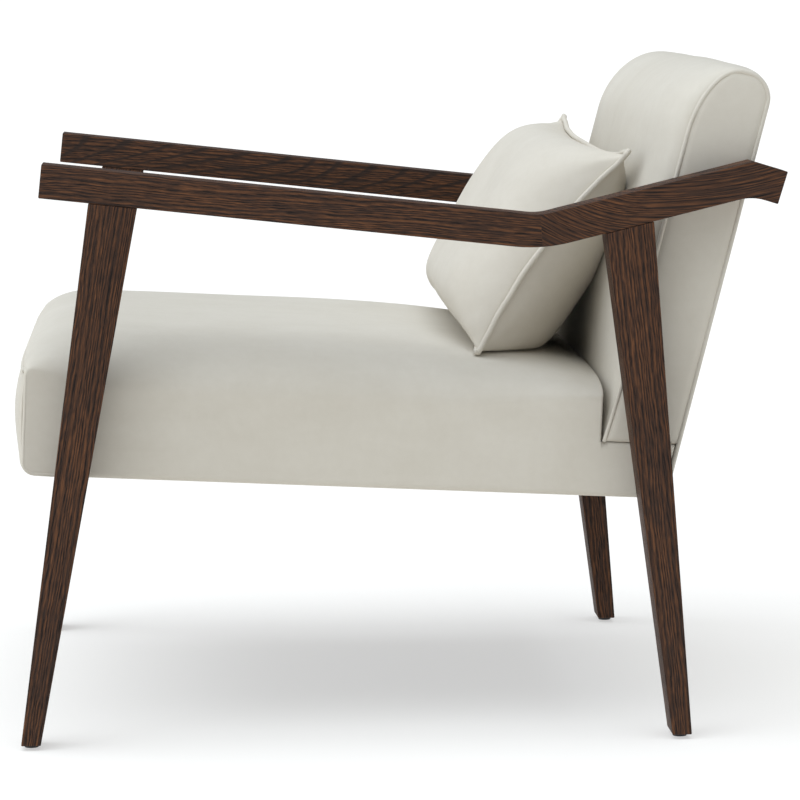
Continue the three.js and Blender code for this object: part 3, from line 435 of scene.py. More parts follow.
@dataclass(frozen=True)
class StainedOak:
    """Open-pored oak under a dark stain and a thin satin lacquer.

    The grain follows a direction in Y and Z. A swept grain bends round a centre in Y and Z, and an oblique
    one has bold lines that cross fine lengthwise ones. Each layer of the figure is noise with so many hills
    to a metre across the thickness, across the width and along the grain, and each has its share in the tone.
    """

    name: str
    along: Place
    middle: Vector
    run: GrainRun = GrainRun.LENGTHWISE
    centre: Place = (0.0, 0.0)
    turn_reach: float = 0.16
    opening: float = 0.5
    ring_width: float = 3.0
    ring_tilt: float = 0.0
    ring_jitter: float = 1.2
    ring_pace: float = 410.0
    sway: float = 10.0
    ripple: float = 4.2
    pith: Place = (30.0, 140.0)
    bold_pitch: float = 19.0
    bold_rise: float = 1.18
    bold_depth: float = 1.3
    bold_slope: float = 0.47
    bold_bend: float = 26.0
    bold_sway: float = 0.065
    seed: float = 0.0
    seed_shift: Triple = (0.37, 0.11, 0.53)
    sway_hills: Triple = (13.0, 13.0, 5.0)
    ripple_hills: Triple = (110.0, 110.0, 30.0)
    streak_hills: Triple = (300.0, 300.0, 13.0)
    fleck_hills: Triple = (520.0, 520.0, 62.0)
    thread_hills: Triple = (1300.0, 1300.0, 60.0)
    patch_hills: Triple = (24.0, 24.0, 7.0)
    pore_hills: Triple = (1500.0, 1500.0, 55.0)
    ground_share: float = 0.10
    summer_share: float = 0.38
    streak_share: float = 0.50
    fleck_share: float = 0.85
    thread_share: float = 0.80
    patch_share: float = 0.30
    pore: Colour = (0.010, 0.006, 0.0045)
    dark: Colour = (0.026, 0.0125, 0.0075)
    brown: Colour = (0.064, 0.0245, 0.0098)
    tan: Colour = (0.170, 0.065, 0.022)
    roughness: float = 0.50
    pore_dullness: float = 0.30
    streak_dullness: float = 0.12
    shine: float = 0.28
    relief: float = 0.22

    def member_place(self, sheet: FinishSheet) -> Socket:
        """The place in the member: X across its thickness, Y across its width and Z along its grain.

        Args:
            sheet: The sheet that the nodes go on.

        Returns:
            The place, in metres.
        """
        place = sheet.object_place()
        if self.run is GrainRun.SWEPT:
            x, y, z = sheet.parts(place)
            from_y = sheet.sum("SUBTRACT", y, self.centre[0] * MM)
            behind = sheet.sum("MULTIPLY", sheet.sum("MAXIMUM", from_y, 0.0), self.opening)
            from_y = sheet.sum("ADD", sheet.sum("MINIMUM", from_y, 0.0), behind)
            from_z = sheet.sum("SUBTRACT", self.centre[1] * MM, z)
            x = sheet.sum("SUBTRACT", x, self.middle.x * MM)
            turn = sheet.sum("ARCTAN2", from_y, from_z)
            return sheet.joined(x, sheet.reach(from_y, from_z), sheet.sum("MULTIPLY", turn, self.turn_reach))
        mapping = sheet.put("ShaderNodeMapping", vector_type="TEXTURE")
        mapping.inputs["Rotation"].default_value = (-math.atan2(self.along[0], self.along[1]), 0.0, 0.0)
        mapping.inputs["Location"].default_value = self.middle * MM
        sheet.wire(place, mapping.inputs["Vector"])
        return mapping.outputs[0]

    def bold_lines(self, sheet: FinishSheet, place: Sequence[Socket], sway: Socket) -> Socket:
        """How dark the bold lines of an oblique grain are at a place.

        Args:
            sheet: The sheet that the nodes go on.
            place: The three parts of the place in the member.
            sway: Slow noise about 0 that bends the lines.

        Returns:
            A share from 0 between the lines to 1 on them.
        """
        x, y, z = place
        line = sheet.sum("MULTIPLY", sheet.sum("MULTIPLY", y, y), self.bold_bend)
        slopes = ((y, self.bold_rise), (z, self.bold_slope), (x, self.bold_depth), (sway, self.bold_sway))
        for part, slope in slopes:
            line = sheet.sum("MULTIPLY_ADD", part, slope, line)
        phase = sheet.sum("FRACT", sheet.sum("DIVIDE", line, self.bold_pitch * MM))
        return sheet.ramp(phase, [(0.0, 1.0), (0.10, 0.85), (0.22, 0.0), (0.88, 0.0), (0.97, 1.0)])

    def ring_phase(self, sheet: FinishSheet, place: Sequence[Socket], sway: Socket, ripple: Socket) -> Socket:
        """Where a place lies between two growth rings.

        Args:
            sheet: The sheet that the nodes go on.
            place: The three parts of the place in the member.
            sway: Slow noise about 0 that bends the rings.
            ripple: Quicker noise about 0 that roughens them.

        Returns:
            A share from 0 at one ring to 1 at the next.
        """
        x, y, z = place
        lean = sheet.sum("MULTIPLY", z, self.ring_tilt)
        off_y = sheet.sum("ADD", sheet.sum("ADD", y, lean), self.pith[1] * MM)
        reach = sheet.reach(sheet.sum("ADD", x, self.pith[0] * MM), off_y)
        for bend, amount in ((sway, self.sway), (ripple, self.ripple)):
            reach = sheet.sum("ADD", reach, sheet.sum("MULTIPLY", bend, amount * MM))
        wave = sheet.sum("SINE", sheet.sum("MULTIPLY", reach, self.ring_pace))
        uneven = sheet.sum("MULTIPLY", wave, self.ring_jitter * MM)
        return sheet.sum("FRACT", sheet.sum("DIVIDE", sheet.sum("ADD", reach, uneven), self.ring_width * MM))

    def material(self) -> bpy.types.Material:
        """Builds the finish.

        Returns:
            The material, ready to go on a member.
        """
        sheet = FinishSheet(self.name)
        place = self.member_place(sheet)
        shift = sheet.put("ShaderNodeVectorMath", operation="ADD")
        sheet.wire(place, shift.inputs[0])
        shift.inputs[1].default_value = tuple(self.seed * part for part in self.seed_shift)
        roam = shift.outputs[0]
        parts = sheet.parts(place)
        sway = sheet.sum("SUBTRACT", sheet.cloud(sheet.scaled(roam, self.sway_hills), 1.0, 1.0), 0.5)
        ripple = sheet.sum("SUBTRACT", sheet.cloud(sheet.scaled(roam, self.ripple_hills), 1.0, 2.0), 0.5)
        phase = self.ring_phase(sheet, parts, sway, ripple)
        summer = sheet.ramp(phase, [(0.0, 0.15), (0.18, 0.0), (0.40, 0.35), (0.72, 1.0), (0.96, 0.55)])
        streak = sheet.cloud(sheet.scaled(roam, self.streak_hills), 1.0, 4.0, 0.66)
        fleck = sheet.cloud(sheet.scaled(roam, self.fleck_hills), 1.0, 2.0, 0.6)
        thread = sheet.cloud(sheet.scaled(roam, self.thread_hills), 1.0, 3.0, 0.6)
        patch = sheet.cloud(sheet.scaled(roam, self.patch_hills), 1.0, 2.0)
        level = sheet.sum("MULTIPLY_ADD", streak, self.streak_share, self.ground_share)
        level = sheet.sum("MULTIPLY_ADD", summer, self.summer_share, level)
        layers = ((fleck, self.fleck_share), (thread, self.thread_share), (patch, self.patch_share))
        for layer, share in layers:
            level = sheet.sum("MULTIPLY_ADD", sheet.sum("SUBTRACT", layer, 0.5), share, level)
        body = sheet.tint(sheet.ramp(level, [(0.24, 0.0), (0.62, 1.0)]), self.dark, self.brown)
        body = sheet.tint(sheet.ramp(level, [(0.56, 0.0), (0.98, 1.0)]), body, self.tan)
        if self.run is GrainRun.OBLIQUE:
            body = sheet.tint(self.bold_lines(sheet, parts, sway), body, self.dark)
        dash = sheet.cloud(sheet.scaled(roam, self.pore_hills), 1.0, 2.0, 0.5)
        early = sheet.ramp(phase, [(0.0, 1.0), (0.34, 1.0), (0.50, 0.35), (0.9, 0.30)])
        open_pore = sheet.sum("MULTIPLY", sheet.ramp(dash, [(0.50, 0.0), (0.57, 1.0)]), early)
        sheet.feed(sheet.surface.inputs["Base Color"], sheet.tint(open_pore, body, self.pore))
        dull = sheet.sum("MULTIPLY_ADD", open_pore, self.pore_dullness, self.roughness)
        dull = sheet.sum("MULTIPLY_ADD", streak, self.streak_dullness, dull)
        sheet.feed(sheet.surface.inputs["Roughness"], dull)
        height = sheet.sum("MULTIPLY_ADD", open_pore, -1.0, sheet.sum("MULTIPLY", summer, 0.25))
        sheet.raise_by(sheet.sum("MULTIPLY_ADD", thread, 0.3, height), self.relief * MM, 0.9)
        sheet.set_surface(Specular_IOR_Level=self.shine)
        return sheet.material


@dataclass(frozen=True)
class ShortPileVelvet:
    """A pale, short, dense pile that shows where it was stroked.

    Each layer is noise with so many hills to a metre, and has its share in where the pile looks stroked.
    """

    name: str
    lit: Colour = (0.655, 0.614, 0.532)
    stroked: Colour = (0.600, 0.556, 0.472)
    broad_hills: float = 7.0
    stroke_hills: Triple = (26.0, 9.0, 40.0)
    mottle_hills: float = 95.0
    fuzz_hills: float = 1500.0
    broad_share: float = 0.55
    stroke_share: float = 0.30
    mottle_share: float = 0.30
    fuzz_share: float = 0.22
    relief: float = 0.35
    roughness: float = 0.92
    shine: float = 0.18
    sheen: float = 0.12
    sheen_roughness: float = 0.42
    sheen_tint: Colour = (1.0, 0.985, 0.96)

    def material(self) -> bpy.types.Material:
        """Builds the finish.

        Returns:
            The material, ready to go on cloth.
        """
        sheet = FinishSheet(self.name)
        place = sheet.object_place()
        broad = sheet.cloud(place, self.broad_hills, 3.0, 0.55, 0.8)
        stroke = sheet.cloud(sheet.scaled(place, self.stroke_hills), 1.0, 4.0, 0.6, 0.6)
        mottle = sheet.cloud(place, self.mottle_hills, 4.0, 0.62)
        fuzz = sheet.cloud(place, self.fuzz_hills, 3.0, 0.7)
        share = sheet.sum("MULTIPLY", sheet.sum("SUBTRACT", fuzz, 0.5), self.fuzz_share)
        layers = ((broad, self.broad_share), (stroke, self.stroke_share), (mottle, self.mottle_share))
        for layer, part in layers:
            share = sheet.sum("MULTIPLY_ADD", layer, part, share)
        colour = sheet.tint(sheet.ramp(share, [(0.38, 0.0), (0.78, 1.0)]), self.stroked, self.lit)
        sheet.feed(sheet.surface.inputs["Base Color"], colour)
        height = sheet.sum("MULTIPLY_ADD", mottle, 0.35, sheet.sum("MULTIPLY", fuzz, 0.8))
        sheet.raise_by(height, self.relief * MM, 0.55)
        sheet.set_surface(Roughness=self.roughness, Specular_IOR_Level=self.shine, Sheen_Weight=self.sheen,
                          Sheen_Roughness=self.sheen_roughness, Sheen_Tint=(*self.sheen_tint, 1.0))
        return sheet.material


@dataclass(frozen=True)
class PlainFinish:
    """A finish of two near tones with a fine grain, for the pieces that are seldom seen."""

    name: str
    tone: Colour
    second: Colour
    roughness: float
    metallic: float = 0.0
    stretch: Triple = (60.0, 60.0, 60.0)
    relief: float = 0.1

    def material(self) -> bpy.types.Material:
        """Builds the finish.

        Returns:
            The material, ready to go on a piece.
        """
        sheet = FinishSheet(self.name)
        place = sheet.object_place()
        broad = sheet.cloud(sheet.scaled(place, self.stretch), 1.0, 4.0, 0.6)
        fine = sheet.cloud(sheet.scaled(place, self.stretch), 12.0, 3.0, 0.6)
        share = sheet.ramp(sheet.sum("MULTIPLY_ADD", fine, 0.4, sheet.sum("MULTIPLY", broad, 0.6)),
                           [(0.36, 0.0), (0.64, 1.0)])
        sheet.feed(sheet.surface.inputs["Base Color"], sheet.tint(share, self.tone, self.second))
        sheet.feed(sheet.surface.inputs["Roughness"], sheet.sum("MULTIPLY_ADD", broad, 0.15, self.roughness))
        sheet.raise_by(fine, self.relief * MM, 0.8)
        sheet.set_surface(Metallic=self.metallic)
        return sheet.material


@dataclass(frozen=True)
class FloorFinish:
    """A matt white studio floor, lit a little from below."""

    name: str = "studio_floor"
    tone: Colour = (0.53, 0.515, 0.484)
    glow: float = 0.50
    patches: float = 0.6
    wear: float = 0.997

    def material(self) -> bpy.types.Material:
        """Builds the finish.

        Returns:
            The material, ready to go on the floor.
        """
        sheet = FinishSheet(self.name)
        broad = sheet.cloud(sheet.object_place(), self.patches, 2.0)
        worn = tuple(part * self.wear for part in self.tone)
        sheet.feed(sheet.surface.inputs["Base Color"], sheet.tint(broad, self.tone, worn))
        sheet.set_surface(Roughness=1.0, Specular_IOR_Level=0.0, Emission_Color=(1.0, 1.0, 1.0, 1.0),
                          Emission_Strength=self.glow)
        sheet.material.cycles.emission_sampling = "NONE"
        return sheet.material


# Bench work


class Bench:
    """Where pieces are made: short ways through Blender's own modelling operators.

    Lengths are in millimetres and angles in radians.
    """

    BOARD_SHARP = math.radians(28.0)
    BOARD_SMOOTH = math.radians(24.0)
    TURNED_SHARP = math.radians(40.0)
    TURNED_SMOOTH = math.radians(35.0)
    EASE_STEPS = 3
    TOUCH = 0.05
    WELD = 0.01
    SEW = 0.02

    @staticmethod
    def clear() -> None:
        """Leaves nothing selected, in object mode."""
        if bpy.context.object and bpy.context.object.mode != "OBJECT":
            bpy.ops.object.mode_set(mode="OBJECT")
        bpy.ops.object.select_all(action="DESELECT")

    @staticmethod
    def pick(piece: bpy.types.Object) -> None:
        """Selects one piece and makes it the active one.

        Args:
            piece: The piece.
        """
        Bench.clear()
        piece.select_set(True)
        bpy.context.view_layer.objects.active = piece

    @staticmethod
    def settle(piece: bpy.types.Object, name: str) -> bpy.types.Object:
        """Names a piece and puts its place into its mesh.

        Args:
            piece: The piece, wherever it was made.
            name: Its name.

        Returns:
            The same piece, with its object at the origin, unturned and unscaled.
        """
        Bench.pick(piece)
        bpy.ops.object.transform_apply(location=True, rotation=True, scale=True)
        piece.name = name
        piece.data.name = name
        return piece

    @staticmethod
    def apply(piece: bpy.types.Object, kind: str, **settings: object) -> None:
        """Adds a modifier and applies it.

        Args:
            piece: The piece that it works on.
            kind: Blender's name for the modifier.
            **settings: The modifier's settings, by name.
        """
        Bench.pick(piece)
        modifier = piece.modifiers.new(kind.lower(), kind)
        for key, value in settings.items():
            setattr(modifier, key, value)
        bpy.ops.object.modifier_apply(modifier=modifier.name)

    @staticmethod
    def prism(name: str, outline: Sequence[Place], low: float, high: float, ease: float,
              joint: Sequence[Place] = ()) -> bpy.types.Object:
        """A board cut to an outline in Y and Z, with its sharp edges eased.

        Args:
            name: Name of the piece.
            outline: Places in Y and Z, in millimetres.
            low: Lower X of the board.
            high: Higher X of the board.
            ease: Width of the eased edges.
            joint: Places on the outline where the board meets its neighbour, whose edges stay sharp.

        Returns:
            The finished piece.
        """
        Bench.clear()
        bpy.ops.mesh.primitive_circle_add(vertices=len(outline), radius=1.0, fill_type="NGON")
        piece = bpy.context.object
        for vertex, (y, z) in zip(piece.data.vertices, outline):
            vertex.co = (low * MM, y * MM, z * MM)
        bpy.ops.object.mode_set(mode="EDIT")
        bpy.ops.mesh.select_all(action="SELECT")
        bpy.ops.mesh.extrude_region_move(TRANSFORM_OT_translate={"value": ((high - low) * MM, 0.0, 0.0)})
        bpy.ops.mesh.select_all(action="SELECT")
        bpy.ops.mesh.normals_make_consistent(inside=False)
        bpy.ops.mesh.select_all(action="DESELECT")
        bpy.ops.mesh.select_mode(type="EDGE")
        bpy.ops.mesh.edges_select_sharp(sharpness=Bench.BOARD_SHARP)
        bpy.ops.object.mode_set(mode="OBJECT")
        meets = {v.index for v in piece.data.vertices
                 if any(math.dist((v.co.y / MM, v.co.z / MM), place) < Bench.TOUCH for place in joint)}
        for face in piece.data.polygons:
            face.select = False
        for edge in piece.data.edges:
            edge.select = edge.select and not meets.issuperset(edge.vertices)
        bpy.ops.object.mode_set(mode="EDIT")
        bpy.ops.mesh.bevel(offset=ease * MM, offset_type="OFFSET", segments=Bench.EASE_STEPS, affect="EDGES")
        bpy.ops.mesh.select_mode(type="VERT")
        bpy.ops.object.mode_set(mode="OBJECT")
        bpy.ops.object.shade_smooth_by_angle(angle=Bench.BOARD_SMOOTH)
        return Bench.settle(piece, name)

    @staticmethod
    def welt(name: str, path: Sequence[Vector], radius: float, sides: int = 4) -> bpy.types.Object:
        """A corded seam along a path.

        Args:
            name: Name of the piece.
            path: Places in millimetres.
            radius: Radius of the covered cord.
            sides: How fine its round is.

        Returns:
            The finished piece.
        """
        Bench.clear()
        curve = bpy.data.curves.new(name, "CURVE")
        curve.dimensions = "3D"
        curve.bevel_depth = radius * MM
        curve.bevel_resolution = sides
        curve.use_fill_caps = True
        line = curve.splines.new("POLY")
        line.points.add(len(path) - 1)
        for point, place in zip(line.points, path):
            point.co = (*(place * MM), 1.0)
        piece = bpy.data.objects.new(name, curve)
        bpy.context.scene.collection.objects.link(piece)
        Bench.pick(piece)
        bpy.ops.object.convert(target="MESH")
        piece = bpy.context.object
        bpy.ops.object.mode_set(mode="EDIT")
        bpy.ops.mesh.select_all(action="SELECT")
        bpy.ops.mesh.remove_doubles(threshold=Bench.WELD * MM)
        bpy.ops.mesh.normals_make_consistent(inside=False)
        bpy.ops.object.mode_set(mode="OBJECT")
        bpy.ops.object.shade_smooth()
        return Bench.settle(piece, name)

    @staticmethod
    def cloth(name: str, panels: Sequence[Rows], middle: Vector, thick: float = 0.0) -> bpy.types.Object:
        """Sews grids of places into one piece of cloth, with every face turned away from a middle.

        Args:
            name: Name of the piece.
            panels: Grids of places in millimetres; grids that share a border are sewn along it.
            middle: A place inside the padding.
            thick: Thickness laid on inwards, or none for a closed form.

        Returns:
            The finished piece.
        """
        Bench.clear()
        mesh = bpy.data.meshes.new(name)
        sewn = bmesh.new()
        for rows in panels:
            grid = [[sewn.verts.new(place * MM) for place in row] for row in rows]
            faces = []
            for first, second in zip(grid, grid[1:]):
                for i in range(len(first) - 1):
                    faces.append(sewn.faces.new((first[i], first[i + 1], second[i + 1], second[i])))
            lean = 0.0
            for face in faces:
                face.normal_update()
                lean += face.normal.dot(face.calc_center_median() - middle * MM) * face.calc_area()
            if lean < 0.0:
                for face in faces:
                    face.normal_flip()
        bmesh.ops.remove_doubles(sewn, verts=sewn.verts, dist=Bench.SEW * MM)
        sewn.to_mesh(mesh)
        sewn.free()
        piece = bpy.data.objects.new(name, mesh)
        bpy.context.scene.collection.objects.link(piece)
        if thick:
            Bench.apply(piece, "SOLIDIFY", thickness=thick * MM, offset=-1.0, use_even_offset=True)
        Bench.pick(piece)
        bpy.ops.object.shade_smooth()
        return Bench.settle(piece, name)


def dress(piece: bpy.types.Object, material: bpy.types.Material, body: str, slot: str, *nodes: str) -> None:
    """Gives a piece its material and its part in the chair.

    Args:
        piece: The piece.
        material: Its finish.
        body: The body that it moves with.
        slot: Its material slot in the record; not used.
        *nodes: The solids that it stands for.
    """
    piece.data.materials.clear()
    piece.data.materials.append(material)
    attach(piece, body)
    if nodes:
        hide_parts(*nodes)
    stands_for = ", ".join(nodes) or "nothing"
    LOG.info("%s: %d faces, stands for %s", piece.name, len(piece.data.polygons), stands_for)


# The chair's own measures


@dataclass(frozen=True)
class ChairPlan:
    """Sizes that more than one sub-assembly shares."""

    width: float = 740.0
    member: float = 44.0
    foot_span: float = 682.0
    gap: float = 0.3
    glue_line: float = 0.04
    seat_low: float = 283.2
    seat_reach: float = 8.0
    seat_fall: float = math.radians(2.9)
    seat_depth: float = 607.0
    ledge: float = 58.0
    back_recline: float = math.radians(14.5)
    back_height: float = 410.0
    back_thick: float = 79.0
    back_gap: float = 4.0
    cushion_lean: float = math.radians(33.3)

    @cached_property
    def middle_y(self) -> float:
        """Middle between the front and the rear glide, along the chair."""
        low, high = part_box("front_glide_left")
        return (low.y + high.y) / 2 / MM + self.foot_span / 2

    @property
    def inner(self) -> float:
        """Inner face of an arm or leg."""
        return self.width / 2 - self.member

    @property
    def soft_half(self) -> float:
        """Half of the upholstery's width."""
        return self.inner - self.gap

    @cached_property
    def seat_frame(self) -> LeaningFrame:
        """The seat's own frame, from its lower front edge."""
        front = self.middle_y - self.foot_span / 2 - self.seat_reach
        return LeaningFrame((front, self.seat_low), self.seat_fall)

    @cached_property
    def back_frame(self) -> LeaningFrame:
        """The back's own frame, from its front foot on the seat's ledge."""
        foot = self.seat_frame.out(Vector((0.0, self.seat_depth + self.back_gap, self.ledge + self.gap)))
        return LeaningFrame((foot.y, foot.z), self.back_recline)


# Side frames


@dataclass(frozen=True)
class Mitre:
    """The joint line of an arm's two boards, through the first knee, with half the glue on each side."""

    low: Place
    way: Place
    half_glue: float
    slack: float = 0.01

    def off(self, place: Place) -> float:
        """How far a place lies behind the line."""
        return (place[0] - self.low[0]) * self.way[1] - (place[1] - self.low[1]) * self.way[0]

    def kept(self, places: Sequence[Place], side: int) -> list[Place]:
        """The places clear of the glue, with side -1 in front of it and 1 behind it."""
        return [place for place in places if self.off(place) * side > self.half_glue]

    def crossing(self, arc: Sequence[Place], side: int) -> Place:
        """Where the edge of the glue crosses an arc.

        Args:
            arc: Places along the arc.
            side: -1 for the glue's front edge and 1 for its rear edge.

        Returns:
            The place on the arc, or on its chord where the arc ends short of the line.
        """
        off = self.half_glue * side
        gate = (self.low[0] + self.way[1] * off, self.low[1] - self.way[0] * off)
        for a, b in zip(arc, arc[1:]):
            if any(len(self.kept((a, b), edge)) == 1 for edge in (-1, 1)):
                spot = meeting(a, direction(a, b), gate, self.way)
                if min(a[0], b[0]) - self.slack <= spot[0] <= max(a[0], b[0]) + self.slack:
                    return spot
        return meeting(arc[len(arc) // 2], direction(arc[0], arc[-1]), gate, self.way)


@dataclass
class SideFrame:
    """One side of the wooden frame: two tapered legs, and an arm of two boards that meet at a knee."""

    plan: ChairPlan
    side: int
    word: str
    top_front: float = 610.0
    front_setback: float = 21.0
    depth: float = 35.0
    fall_run: float = 512.0
    fall: float = 57.0
    rise_run: float = 221.0
    rise: float = 53.5
    tail_run: float = 36.0
    tail_drop: float = 11.0
    knee_over: float = 60.0
    knee_under: float = 170.0
    crest_over: float = 4.0
    crest_under: float = 50.0
    leg_top: float = 50.0
    leg_foot: float = 20.5
    glide_height: float = 5.0
    glide_radius: float = 7.5
    glide_ease: float = 0.7
    glide_ease_steps: int = 4
    glide_sides: int = 48
    rakes: tuple[float, float] = (93.0, -56.0)
    ease: float = 1.1
    knee_over_steps: int = 10
    knee_under_steps: int = 14
    crest_over_steps: int = 3
    crest_under_steps: int = 8
    leg_ring: float = 2.8
    front_ring: float = 2.8
    front_ring_tilt: float = 0.03
    sweep_centre: Place = (112.0, 185.0)
    sweep_sway: float = 5.0

    def arm_top(self) -> list[Place]:
        """Draws the arm's top edge.

        Returns:
            Its corners, from the front to the tail.
        """
        front = (self.plan.middle_y - self.plan.foot_span / 2 + self.front_setback, self.top_front)
        knee = (front[0] + self.fall_run, front[1] - self.fall)
        crest = (knee[0] + self.rise_run, knee[1] + self.rise)
        return [front, knee, crest, (crest[0] + self.tail_run, crest[1] - self.tail_drop)]

    def arm_under(self) -> list[Place]:
        """Draws the arm's underside, one arm's depth below the top edge.

        Returns:
            Its corners, from the front to the tail.
        """
        top = self.arm_top()
        ways = [direction(a, b) for a, b in zip(top, top[1:])]
        starts = [(a[0] + way[1] * self.depth, a[1] - way[0] * self.depth) for a, way in zip(top, ways)]
        end = (top[3][0] + ways[2][1] * self.depth, top[3][1] - ways[2][0] * self.depth)
        return [starts[0], meeting(starts[0], ways[0], starts[1], ways[1]),
                meeting(starts[1], ways[1], starts[2], ways[2]), end]

    def under_height(self, y: float) -> float:
        """Reads the arm's straight underside.

        Args:
            y: Place along the chair.

        Returns:
            The underside's height there.
        """
        low = self.arm_under()
        part = 0 if y < low[1][0] else 1
        share = (y - low[part][0]) / (low[part + 1][0] - low[part][0])
        return blend_between(low[part][1], low[part + 1][1], share)

    def span(self) -> tuple[float, float]:
        """Lower and higher X of this side's members."""
        ends = sorted((self.side * self.plan.inner, self.side * self.plan.width / 2))
        return ends[0], ends[1]

    def mitre(self) -> Mitre:
        """The joint line of the arm's two boards."""
        low, top = self.arm_under()[1], self.arm_top()[1]
        return Mitre(low, direction(low, top), self.plan.glue_line / 2)

    def arm_outlines(self) -> dict[str, list[Place]]:
        """Draws the two boards of the arm, each up to the mitre through the first knee.

        Returns:
            The outline of the front board and of the rear board, by those names.
        """
        top, low, mitre = self.arm_top(), self.arm_under(), self.mitre()
        over = rounded(top[0], top[1], top[2], self.knee_over, self.knee_over_steps)
        under = rounded(low[0], low[1], low[2], self.knee_under, self.knee_under_steps)
        front = [low[0], *mitre.kept(under, -1), mitre.crossing(under, -1), mitre.crossing(over, -1),
                 *mitre.kept(over[::-1], -1), top[0]]
        rear = [mitre.crossing(under, 1), *mitre.kept(under, 1),
                *rounded(low[1], low[2], low[3], self.crest_under, self.crest_under_steps), low[3], top[3],
                *rounded(top[3], top[2], top[1], self.crest_over, self.crest_over_steps),
                *mitre.kept(over[::-1], 1), mitre.crossing(over, 1)]
        return {"front": front, "rear": rear}

    def mitre_corners(self, outline: Sequence[Place]) -> list[Place]:
        """The two places of a board's outline that lie nearest to the mitre."""
        mitre = self.mitre()
        return sorted(outline, key=lambda place: abs(mitre.off(place)))[:2]

    def leg_line(self, front: bool) -> tuple[Place, Place]:
        """Draws a leg's middle line.

        Args:
            front: Whether it is the front leg.

        Returns:
            Its foot and its top.
        """
        foot = (self.plan.middle_y + (-1 if front else 1) * self.plan.foot_span / 2, self.glide_height)
        top_y = foot[0] + self.rakes[0 if front else 1]
        return foot, (top_y, self.under_height(top_y) - self.plan.gap)

    def leg_outline(self, front: bool) -> list[Place]:
        """Draws a leg, from its foot up to the arm's underside.

        Args:
            front: Whether it is the front leg.

        Returns:
            Its four corners.
        """
        foot, top = self.leg_line(front)
        near, far = top[0] - self.leg_top / 2, top[0] + self.leg_top / 2
        heads = [(y, self.under_height(y) - self.plan.gap) for y in (far, near)]
        return [(foot[0] - self.leg_foot / 2, foot[1]), (foot[0] + self.leg_foot / 2, foot[1]), *heads]

    def glide(self, name: str, front: bool) -> bpy.types.Object:
        """Makes a black plastic glide: a turned disc with rounded rims.

        Args:
            name: Name of the piece.
            front: Whether it stands under the front leg.

        Returns:
            The finished piece.
        """
        foot, _ = self.leg_line(front)
        height = self.glide_height - self.plan.gap
        Bench.clear()
        middle_x = self.side * (self.plan.width - self.plan.member) / 2
        bpy.ops.mesh.primitive_cylinder_add(
            vertices=self.glide_sides, radius=self.glide_radius * MM, depth=height * MM,
            location=Vector((middle_x, foot[0], height / 2)) * MM)
        piece = bpy.context.object
        bpy.ops.object.mode_set(mode="EDIT")
        bpy.ops.mesh.select_all(action="DESELECT")
        bpy.ops.mesh.select_mode(type="EDGE")
        bpy.ops.mesh.edges_select_sharp(sharpness=Bench.TURNED_SHARP)
        bpy.ops.mesh.bevel(offset=self.glide_ease * MM, segments=self.glide_ease_steps, affect="EDGES")
        bpy.ops.mesh.select_mode(type="VERT")
        bpy.ops.object.mode_set(mode="OBJECT")
        bpy.ops.object.shade_smooth_by_angle(angle=Bench.TURNED_SMOOTH)
        return Bench.settle(piece, name)

    def build(self, body: str, glide_finish: bpy.types.Material) -> None:
        """Makes and dresses the legs, the arm and the glides of this side.

        Args:
            body: The body that they move with.
            glide_finish: Finish of the glides.
        """
        low, high = self.span()
        middle_x = (low + high) / 2
        for front in (True, False):
            end = "front" if front else "rear"
            foot, head = self.leg_line(front)
            leg = Bench.prism(f"{self.word}_{end}_leg", self.leg_outline(front), low, high, self.ease)
            seed = 3.1 + 2.3 * self.side + (1.9 if front else 0.0)
            oak = StainedOak(f"oak_{end}_leg_{self.word}", direction(foot, head), Vector((middle_x, *foot)),
                             ring_width=self.leg_ring, pith=(25.0, 60.0), seed=seed)
            dress(leg, oak.material(), body, "dark_wood", f"{end}_leg_{self.word}")
            glide = self.glide(f"{self.word}_{end}_glide", front)
            dress(glide, glide_finish, body, "glide", f"{end}_glide_{self.word}")
        for end, oak in self.arm_finishes(middle_x).items():
            outline = self.arm_outlines()[end]
            sharp = self.mitre_corners(outline)
            board = Bench.prism(f"{self.word}_arm_{end}", outline, low, high, self.ease, sharp)
            dress(board, oak.material(), body, "dark_wood", f"arm_{end}_{self.word}")

    def arm_finishes(self, middle_x: float) -> dict[str, StainedOak]:
        """Picks the oak of the arm's two boards: the photograph shows another figure in each.

        Args:
            middle_x: Middle of the arm's thickness.

        Returns:
            The finish of the front board and of the rear board, by those names.
        """
        top, under = self.arm_top(), self.arm_under()
        tip, knee = (Vector((middle_x, (a[0] + b[0]) / 2, (a[1] + b[1]) / 2))
                     for a, b in zip(top[:2], under[:2]))
        front = StainedOak(f"oak_arm_front_{self.word}", direction(top[0], top[1]), tip,
                           run=GrainRun.LENGTHWISE if self.side > 0 else GrainRun.OBLIQUE,
                           ring_width=self.front_ring, ring_tilt=self.front_ring_tilt, pith=(30.0, 70.0),
                           seed=6.0 + self.side)
        centre = (knee.y + self.sweep_centre[0], knee.z + self.sweep_centre[1])
        rear = StainedOak(f"oak_arm_rear_{self.word}", direction(top[1], top[2]), knee, run=GrainRun.SWEPT,
                          centre=centre, pith=(10.0, 0.0), sway=self.sweep_sway, seed=8.0 + self.side)
        return {"front": front, "rear": rear}


# Seat


